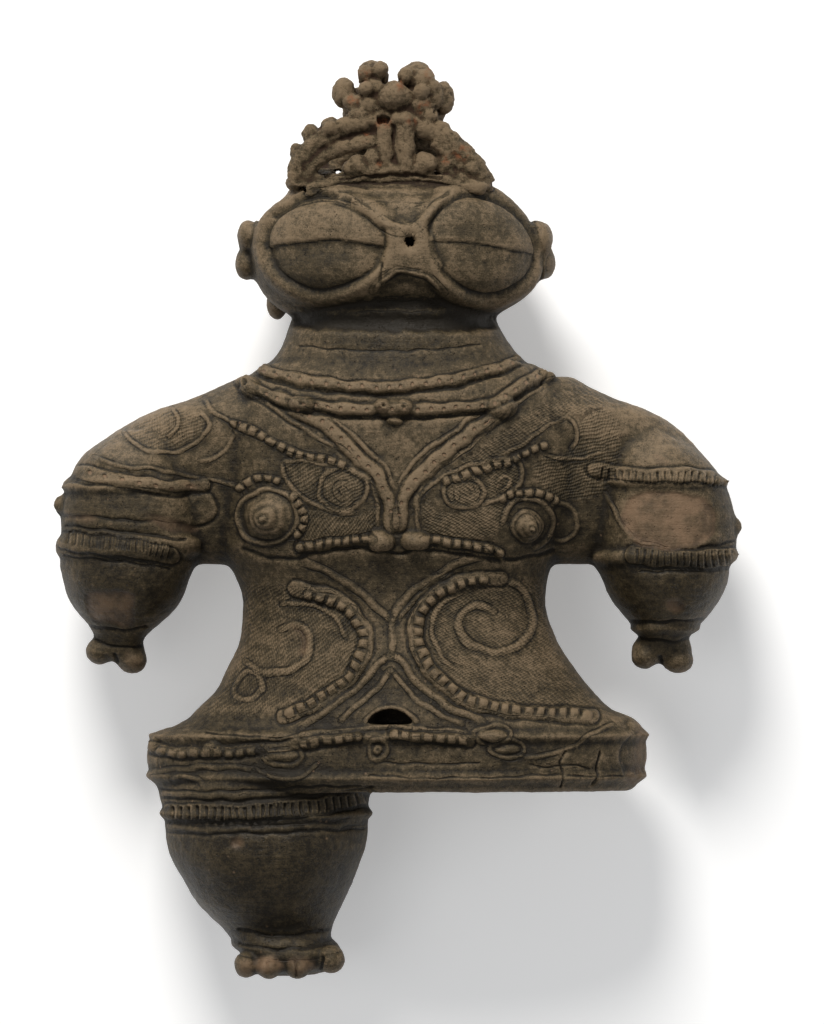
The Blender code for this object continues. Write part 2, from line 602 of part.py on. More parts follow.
def thin(thing, triangles):
    """Fewer triangles, with more of them left on the front, where the carving is."""
    thing.data.calc_loop_triangles()
    group = thing.vertex_groups.new(name="thinned")
    front = [v.index for v in thing.data.vertices if v.normal.z > 0.1]
    group.add(range(len(thing.data.vertices)), 1.0, "REPLACE")
    group.add(front, 1.0 - FRONT_CARE, "REPLACE")
    decimate = thing.modifiers.new("thin", "DECIMATE")
    decimate.vertex_group = group.name
    decimate.vertex_group_factor = CARE_FACTOR
    decimate.ratio = triangles / len(thing.data.loop_triangles)
    apply_modifiers(thing)
    thing.vertex_groups.clear()


def lay_down(thing):
    """Flat spots on the back, then the figure's box centred over the origin with its back at z = 0."""
    mesh = bmesh.new()
    mesh.from_mesh(thing.data)
    places = np.array([vert.co[:] for vert in mesh.verts])
    low, high = places.min(axis=0), places.max(axis=0)
    level = low[2] + REST_CUT
    everything = mesh.verts[:] + mesh.edges[:] + mesh.faces[:]
    bmesh.ops.bisect_plane(
        mesh, geom=everything, dist=FLAT_TOLERANCE, plane_co=(0, 0, level), plane_no=(0, 0, -1), clear_outer=True
    )
    for vert in mesh.verts:
        if abs(vert.co.z - level) <= FLAT_TOLERANCE:
            vert.co.z = level
    rims = [edge for edge in mesh.edges if edge.is_boundary]
    bmesh.ops.triangle_fill(mesh, use_beauty=True, use_dissolve=False, edges=rims)
    shift = Vector((-(low[0] + high[0]) / 2, -(low[1] + high[1]) / 2, -level))
    bmesh.ops.translate(mesh, vec=shift, verts=mesh.verts)
    bmesh.ops.recalc_face_normals(mesh, faces=mesh.faces)
    mesh.to_mesh(thing.data)
    mesh.free()


def fired_clay():
    material = bpy.data.materials.new("fired_clay")
    material.use_nodes = True
    shader = material.node_tree.nodes["Principled BSDF"]
    shader.inputs["Base Color"].default_value = CLAY_COLOUR
    shader.inputs["Roughness"].default_value = CLAY_ROUGHNESS
    shader.inputs["Metallic"].default_value = 0.0
    return material


def main():
    remove_all()
    figure_parts = collection("dogu")
    helpers = collection("cutters")
    core = join("core", body_forms() + crown_forms())
    fuse(core, BODY_VOXEL, 3)
    tree = surface_of(core)
    core = join("figure", [core] + goggle_forms(tree) + laid_on_forms(tree))
    fuse(core, DETAIL_VOXEL, 2)
    for cutter in cutters(surface_of(core), helpers):
        cut(core, cutter)
    thin(core, TRIANGLES)
    lay_down(core)
    core.name = NODE
    core.data.name = NODE
    bpy.context.scene.collection.objects.unlink(core)
    figure_parts.objects.link(core)
    core.data.materials.clear()
    core.data.materials.append(fired_clay())
    core.data.shade_smooth()
    core.data.set_sharp_from_angle(angle=math.radians(50))


main()
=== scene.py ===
"""Dogu figurine of dark fired clay: goggle eyes, openwork crown, one leg left, lying on its back.

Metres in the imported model's frame: +Z up out of the chest, +Y towards the crown, +X towards the
figure's own left side. The body is drawn up in regions with sizes of their own, as the solid is.
What was laid on or cut into the wet clay is drawn on the front, in points of a flat drawing that
DRAWING_STEP and DRAWING_MIDDLE place on the figure; widths there are points, rises are millimetres.
"""

import math

import bmesh
import bpy
import numpy as np
from bpy.props import FloatProperty, FloatVectorProperty, IntProperty, PointerProperty
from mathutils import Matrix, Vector
from mathutils.bvhtree import BVHTree


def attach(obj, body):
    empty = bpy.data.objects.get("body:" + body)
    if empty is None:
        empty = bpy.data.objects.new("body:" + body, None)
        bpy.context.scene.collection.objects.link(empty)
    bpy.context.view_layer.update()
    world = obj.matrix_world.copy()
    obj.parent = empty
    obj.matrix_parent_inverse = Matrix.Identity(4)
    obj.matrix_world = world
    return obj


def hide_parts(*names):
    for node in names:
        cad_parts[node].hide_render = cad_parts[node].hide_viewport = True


bl_info = {
    "name": "Clay Figurine",
    "version": (1, 0, 0),
    "blender": (4, 5, 0),
    "location": "3D View > Sidebar > Figurine",
    "description": "A goggle-eyed figurine of fired clay with laid-on cords and cord-marked fields",
    "category": "Add Mesh",
}

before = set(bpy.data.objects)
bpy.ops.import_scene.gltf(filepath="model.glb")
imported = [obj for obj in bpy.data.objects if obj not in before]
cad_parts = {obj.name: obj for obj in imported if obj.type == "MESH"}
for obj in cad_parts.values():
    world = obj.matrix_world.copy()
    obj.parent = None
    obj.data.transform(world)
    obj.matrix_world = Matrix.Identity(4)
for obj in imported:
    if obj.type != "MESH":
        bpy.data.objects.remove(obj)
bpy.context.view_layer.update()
NODE = "dogu_figurine"
FIGURE = "fired_clay_figurine"

# Where the flat drawing lies on the figure, and where the standing form comes to lie
DRAWING_STEP = 0.00037326
DRAWING_MIDDLE = (398.0, 517.9)
LAID_DOWN = (-0.00002, -0.17137, -0.00142)

# Where the eye looks and from how high: the drawing lies on the figure as seen from there
AIM = (0.00523, 0.0022, 0.045)
CAMERA_DISTANCE = 3.6
FRAME_HEIGHT = 0.38222

# Lengths along the body, sole to crown
LEG_LENGTH = 0.0698
TRUNK_HEIGHT = 0.1589
NECK_LENGTH = 0.0194
HEAD_HEIGHT = 0.0463
CROWN_HEIGHT = 0.0459
CROWN_SEAT = 0.0015
ARM_LENGTH = 0.0903

# Widths and depths
HIP_WIDTH = 0.1898
SHOULDER_WIDTH = 0.2551
NECK_WIDTH = 0.0791
HEAD_WIDTH = 0.1108
CROWN_WIDTH = 0.0753
ARM_WIDTH = 0.0511
LEG_WIDTH = 0.0761
BODY_DEPTH = 0.0880
ARM_DEPTH = 0.0560
LEG_OFFSET = -0.0485
ARM_SPREAD = 0.1005

# Laid-on forms
BAND_RISE = 0.0020
ARCH = 0.0044
ARCH_DEPTH = 0.0062
FRONT_ARCH_SHARE = 0.85
BACK_ARCH_SHARE = 0.85
CROWN_KNOB = 0.0042
KNOB_SHARE = 0.86
KNOB_DEPTH = 1.3
BACK_CORD = 0.0017
EAR_SIZE = (0.0042, 0.0062, 0.0080)

# Holes: their places in the drawing, except the break's, which is in hundredths of the trunk
NOSE_AT = (410, 244)
NOSE_HOLE = 0.0036
NOSE_HOLE_DEPTH = 0.0110
SLOT_AT = (390, 721)
SLOT_SIZE = (0.0086, 0.0056, 0.0120)
SLOT_FLAT = 0.12
EYELET_AT = (338, 172)
EYELET = 0.0016
BREAK_AT = (44, -1.5)
BREAK_SIZE = (0.0155, 0.0110, 0.0124)
CUTTER_PAST = 0.01

# How finely the forms are drawn up, fused and thinned
MIDDLE = BODY_DEPTH / 2
SIDES = 56
SECTION_POWER = 2.3
ROW_STEP = 0.003
CURVE_STEP = 0.0020
BODY_BLOCK = 0.0012
MOST_TRIANGLES = 196000
FRONT_SLOPE = 0.1
FRONT_CARE = 0.80
CARE_FACTOR = 0.00012
FLAT_TOLERANCE = 0.00005

# Where the drawing takes hold: how far the skin faces up, how high it lies, and where the crown begins
FACING_SLOPE = (0.10, 0.40)
FACING_HEIGHT = (0.018, 0.028)
CROWN_EDGE = (0.1195, 0.1275)
CROWN_CRUMB_EDGE = (0.1215, 0.1275)
RUST_HEIGHT = 0.02


class Region:
    """A stretch of the body. Places in it are hundredths of its half width, height and half depth."""

    def __init__(self, x, y, half_width, height, half_depth=BODY_DEPTH / 2):
        self.x = x
        self.y = y
        self.half_width = half_width
        self.height = height
        self.half_depth = half_depth

    def place(self, across, up, out=0.0):
        return Vector((
            self.x + across / 100 * self.half_width,
            self.y + up / 100 * self.height,
            MIDDLE + out / 100 * self.half_depth,
        ))


LEG = Region(LEG_OFFSET, 0.0, LEG_WIDTH / 2, LEG_LENGTH)
TRUNK = Region(0.0, LEG_LENGTH, HIP_WIDTH / 2, TRUNK_HEIGHT)
YOKE = Region(0.0, LEG_LENGTH, SHOULDER_WIDTH / 2, TRUNK_HEIGHT)
NECK = Region(0.0, LEG_LENGTH + TRUNK_HEIGHT + NECK_LENGTH, NECK_WIDTH / 2, NECK_LENGTH)
HEAD = Region(0.0, NECK.y + HEAD_HEIGHT / 2, HEAD_WIDTH / 2, HEAD_HEIGHT / 2)
CROWN = Region(-0.0028, HEAD.y + HEAD_HEIGHT / 2 + CROWN_SEAT, CROWN_WIDTH / 2, CROWN_HEIGHT)
ARM_FOOT = LEG_LENGTH + TRUNK_HEIGHT * 0.277
RIGHT_ARM = Region(-ARM_SPREAD, ARM_FOOT, ARM_WIDTH / 2, ARM_LENGTH, ARM_DEPTH / 2)
LEFT_ARM = Region(ARM_SPREAD + 0.0002, ARM_FOOT, ARM_WIDTH / 2, ARM_LENGTH, ARM_DEPTH / 2)

# Outlines, each row (up, left edge, right edge, back, front), from low to high
LEG_ROWS = [
    (1, -6, 43, -27, 23), (3, -25, 67, -45, 41), (8, -29, 75, -55, 55), (13, -27, 73, -55, 55),
    (19, -34, 61, -48, 50), (25, -43, 62, -50, 50), (33, -58, 68, -59, 59), (41, -72, 75, -68, 68),
    (52, -83, 84, -80, 77), (61, -93, 90, -86, 82), (70, -99, 96, -89, 84), (79, -101, 98, -91, 84),
    (88, -102, 98, -91, 84), (100, -108, 100, -89, 84), (111, -91, 102, -82, 82),
]
TRUNK_ROWS = [
    (0, -94, 92, -88, 88), (3, -97, 96, -97, 96), (8, -99, 98, -98.5, 97), (13, -96, 97, -98, 96),
    (16, -84, 95, -96, 93), (19, -79, 84, -93, 91), (23, -72, 77, -91, 86), (29, -67, 69, -87, 82),
    (36, -62, 62, -82, 75), (44, -61, 58, -80, 70), (50, -64, 59, -81, 73), (58, -72, 66, -85, 82),
    (68, -75, 75, -89, 86), (80, -76, 79, -90, 86), (92, -68, 70, -84, 82), (100, -53, 54, -73, 68),
]
YOKE_ROWS = [
    (53, -90, 90, -18, 9), (56, -96, 97, -43, 32), (61, -98, 99, -55, 43), (66, -98, 98, -61, 50),
    (72, -96, 96, -66, 55), (77, -94, 91, -68, 59), (81, -88, 87, -70, 61), (85, -81, 82, -70, 64),
    (89, -72, 74, -68, 64), (92, -60, 63, -66, 61), (97, -46, 51, -59, 55),
]
NECK_ROWS = [
    (-154, -140, 139, -77, 73), (-115, -128, 129, -77, 70), (-69, -110, 108, -73, 66),
    (-15, -101, 93, -70, 64), (23, -92, 87, -59, 55),
]
HEAD_ROWS = [
    (-116, -64, 59, -27, 23), (-100, -76, 69, -50, 45), (-81, -87, 83, -74, 64), (-58, -94, 93, -90, 75),
    (-35, -98, 97, -98, 78), (0, -99, 98, -101, 79), (35, -96, 92, -97, 78), (61, -89, 85, -87, 75),
    (87, -76, 74, -72, 66), (106, -71, 63, -45, 41),
]
CROWN_ROWS = [
    (-5, -99, 99, -68, 50), (7, -95, 96, -66, 48), (13, -89, 89, -61, -14), (28, -67, 71, -59, -18),
    (40, -48, 55, -55, -23), (50, -48, 51, -50, -18), (62, -48, 58, -50, 36), (72, -45, 54, -41, 36),
    (78, -40, 50, -27, 27),
]
RIGHT_ARM_ROWS = [
    (10, -42, 16, -32, 32), (15, -50, 25, -43, 43), (19, -57, 42, -54, 54), (25, -76, 64, -71, 71),
    (31, -89, 79, -82, 82), (38, -96, 88, -93, 93), (45, -101, 99, -96, 96), (52, -99, 108, -100, 100),
    (63, -99, 112, -100, 100), (75, -92, 109, -96, 96), (88, -72, 98, -86, 86), (100, -16, 89, -54, 54),
]
LEFT_ARM_ROWS = [
    (10, -34, 25, -32, 32), (15, -41, 32, -43, 43), (19, -51, 45, -54, 54), (25, -69, 64, -71, 71),
    (31, -85, 79, -82, 82), (38, -95, 89, -93, 93), (45, -107, 92, -96, 96), (52, -108, 101, -100, 100),
    (63, -111, 99, -100, 100), (75, -108, 88, -96, 96), (88, -99, 58, -86, 86), (100, -85, 3, -54, 54),
]

# Cords on the back: (region, half thickness, places (across, up) along the cord)
BACK_CORDS = [
    (NECK, BACK_CORD, [(-112, -122), (-90, -128), (-45, -136), (0, -138), (45, -136), (90, -124),
        (106, -116)]),
    (TRUNK, BACK_CORD, [(-54, 93), (-40, 88), (-15, 84), (0, 83), (15, 84), (40, 88), (52, 92)]),
    (TRUNK, BACK_CORD, [(-56, 70), (-36, 62), (-14, 60), (0, 64), (14, 60), (36, 62), (56, 70)]),
    (TRUNK, BACK_CORD, [(-40, 48), (-22, 46), (-12, 38), (-16, 27), (-34, 21)]),
    (TRUNK, BACK_CORD, [(40, 48), (22, 46), (12, 38), (16, 27), (34, 21)]),
]

# Crown: front arches, pillar and the knobs along them, each knob (across, up, out, size)
ARCHES = [
    [(-92, -3), (-91, 14), (-77, 29), (-58, 40), (-34, 49), (-12, 52)],
    [(88, -3), (86, 11), (69, 26), (50, 37), (29, 47), (12, 52)],
]
ARCH_OUT = 40
PILLAR_OUT = 34
PILLAR = [(3, 6), (3, 27), (1, 47)]
CROWN_KNOBS = [
    (-45, 75, 22, 1.0), (-19, 89, 22, 1.45), (27, 86, 22, 1.6), (48, 68, 22, 1.15), (-24, 76, 44, 0.75),
    (31, 74, 44, 0.85), (3, 70, 40, 1.6), (-78, 40, 34, 0.85), (-60, 44, 44, 0.85), (-91, 27, 34, 0.75),
    (55, 39, 40, 0.8), (62, 33, 30, 0.8), (80, 11, 42, 1.0), (93, -2, 34, 0.7), (-32, 14, 44, 1.1),
    (33, 17, 44, 1.0), (-96, 0, 30, 0.8),
]

# Rolls of clay of the crown in the drawing: (thickness, out, points), points and hundredths
CROWN_ROLLS = [
    (8.0, 36, [(296, 184), (297, 172), (305, 158), (320, 146), (338, 137), (358, 130), (384, 127)]),
    (7.5, 42, [(303, 185), (309, 170), (324, 157), (344, 147), (366, 142), (386, 141)]),
    (6.0, 40, [(306, 186), (314, 180), (320, 178)]),
    (8.5, 38, [(488, 184), (480, 170), (468, 156), (456, 144), (440, 135), (412, 128)]),
    (8.5, 41, [(474, 184), (466, 172), (455, 160), (446, 149), (434, 140)]),
    (8.0, 40, [(458, 184), (454, 172), (446, 162)]),
    (8.5, 44, [(384, 124), (384, 142), (385, 164)]),
    (10.0, 46, [(404, 124), (405, 142), (406, 164)]),
    (8.5, 46, [(354, 169), (370, 170), (390, 170), (410, 169), (426, 166), (432, 162)]),
    (6.0, 45, [(308, 188), (330, 184), (352, 181), (398, 180), (434, 180), (466, 184), (482, 188)]),
    (5.0, 44, [(334, 190), (350, 188), (398, 186), (440, 188), (456, 190)]),
    (11.0, 34, [(354, 106), (372, 100), (394, 98), (416, 100), (434, 106)]),
    (10.0, 38, [(352, 118), (374, 116), (396, 117), (418, 116), (430, 118)]),
]

# Lumps of the crown in the drawing: (x, y, half width, half height, half depth, out)
CROWN_LUMPS = [
    (373, 76, 16, 15, 17, 24), (366, 72, 8, 8, 9, 36), (380, 70, 8, 9, 10, 36), (374, 88, 12, 9, 10, 38),
    (344, 93, 12, 16, 15, 26), (352, 102, 10, 9, 12, 34), (416, 78, 19, 14, 17, 26),
    (406, 76, 8, 9, 10, 36), (424, 80, 11, 12, 10, 38), (443, 98, 11, 17, 15, 26),
    (436, 96, 10, 12, 10, 36), (432, 88, 9, 9, 10, 38), (395, 98, 19, 14, 12, 42),
    (370, 104, 14, 11, 12, 38), (420, 104, 14, 12, 12, 38), (402, 119, 13, 8, 10, 46),
    (362, 115, 15, 11, 12, 38), (428, 116, 10, 10, 12, 38), (350, 124, 12, 7, 10, 38),
    (440, 128, 10, 7, 10, 38), (329, 126, 9, 9, 10, 34), (311, 135, 9, 10, 10, 34), (296, 155, 6, 9, 9, 34),
    (293, 150, 3, 5, 4, 36), (296, 180, 8, 10, 10, 36), (453, 140, 9, 9, 10, 38), (441, 135, 8, 8, 10, 38),
    (475, 167, 11, 12, 11, 34), (484, 184, 8, 8, 9, 32), (446, 164, 12, 11, 10, 40),
    (462, 178, 13, 10, 12, 40), (352, 168, 10, 9, 10, 46), (366, 170, 10, 8, 8, 47),
    (428, 163, 10, 10, 10, 47), (372, 158, 8, 9, 8, 46), (316, 180, 9, 7, 9, 40),
]
EARS = [(-101, 23, 0), (-102.5, -21, -8), (97, 20, 0), (99, -20, -8), (-82, -84, -45)]

# Raised bands round the limbs: (region, rows, low, high)
BANDS = [
    (RIGHT_ARM, RIGHT_ARM_ROWS, 74, 81), (RIGHT_ARM, RIGHT_ARM_ROWS, 47, 57),
    (LEFT_ARM, LEFT_ARM_ROWS, 76, 82), (LEFT_ARM, LEFT_ARM_ROWS, 44, 51), (LEFT_ARM, LEFT_ARM_ROWS, 15, 20),
    (LEG, LEG_ROWS, 84, 91), (LEG, LEG_ROWS, 13, 21), (TRUNK, TRUNK_ROWS, 1.5, 5),
    (TRUNK, TRUNK_ROWS, 11.5, 14.5),
]

# Hands, side knobs and toes: (region, across, up, out, half width, half height, half depth)
ROUND_ENDS = [
    (RIGHT_ARM, -43, 8.5, 0, 0.0052, 0.0052, 0.0090), (RIGHT_ARM, 5, 5, 0, 0.0058, 0.0052, 0.0090),
    (RIGHT_ARM, -19, 10, 0, 0.0110, 0.0052, 0.0095),
    (LEFT_ARM, -33, 6.5, 0, 0.0052, 0.0048, 0.0090), (LEFT_ARM, 15, 4.8, 0, 0.0060, 0.0050, 0.0090),
    (LEFT_ARM, -8, 10, 0, 0.0115, 0.0055, 0.0095),
    (RIGHT_ARM, -97, 69, 10, 0.0032, 0.0036, 0.0040), (LEFT_ARM, 96, 60, 10, 0.0034, 0.0036, 0.0040),
    (LEG, -21, 7.5, 38, 0.0046, 0.0050, 0.0080), (LEG, 2, 6.5, 44, 0.0046, 0.0046, 0.0080),
    (LEG, 30, 6.5, 44, 0.0048, 0.0046, 0.0080), (LEG, 62, 10.5, 38, 0.0054, 0.0056, 0.0080),
]

# Eyes
RIGHT_LENS = [
    (268, 245), (272, 226), (290, 209), (323, 200), (352, 206), (374, 218), (385, 233), (384, 252),
    (373, 269), (348, 284), (318, 290), (290, 279), (273, 262),
]
LEFT_LENS = [
    (429, 241), (432, 221), (446, 204), (466, 196), (488, 199), (508, 209), (526, 227), (535, 251),
    (526, 276), (498, 293), (470, 291), (446, 274), (433, 257),
]
RIGHT_LID = [(266, 248), (284, 245), (301, 243), (333, 240), (359, 243), (386, 247)]
RIGHT_LOWER_LID = [(318, 247), (333, 246), (355, 251), (384, 256)]
LEFT_LID = [(429, 242), (464, 243), (485, 246), (511, 251), (534, 255)]
RIM_PEAK = 7.0
RIM_ROLL = 22.0
RIM_RISE = 2.3
LENS_DOME = 1.5
LENS_REACH = 26.0
RIGHT_OVERHANG = 1.3
LEFT_OVERHANG = 0.7
LID_REACH = 34.0
EYE_REACH = 240.0

# Half width and depth of the groove round a lens, the slit between its lids and the lower slit
LENS_GROOVE = (2.8, 0.6)
LID_SLIT = (2.0, 0.8)
LOWER_SLIT = (1.8, 0.9)

# How far lines drawn by hand stray, and what share of its rise a laid-on line keeps after pressing
WAVER = 0.75
LINE_SHARE = 0.62
END_TAPER = 2.5

# What share of its rise or depth a nodule or notch keeps, and the line pressed in along a strap's foot
NODULE_SHARE = 0.8
NODULE_WIDER = 1.2
NOTCH_SHARE = 0.6
FOOT_HALF = 2.0
FOOT_DEPTH = 0.40
FOOT_REACH = 3.0

# Broad flats standing proud or lying low: (outline, height, softness of the edge)
PLATES = [
    ([(384, 226), (405, 222), (424, 228), (433, 246), (440, 268), (432, 276), (410, 270), (388, 274),
        (380, 266), (388, 246)], 2.3, 5.0),
]
DIPS = [
    ([(340, 194), (356, 200), (374, 210), (392, 222), (404, 226), (418, 219), (434, 204), (448, 193),
        (396, 190)], 1.1, 3.0),
    ([(372, 300), (382, 288), (394, 281), (410, 280), (426, 285), (440, 296), (446, 306), (410, 308),
        (376, 307)], 1.0, 4.0),
    ([(292, 316), (330, 314), (396, 314), (470, 314), (500, 316), (504, 324), (470, 330), (396, 331),
        (320, 329), (288, 324)], 2.6, 5.0),
]

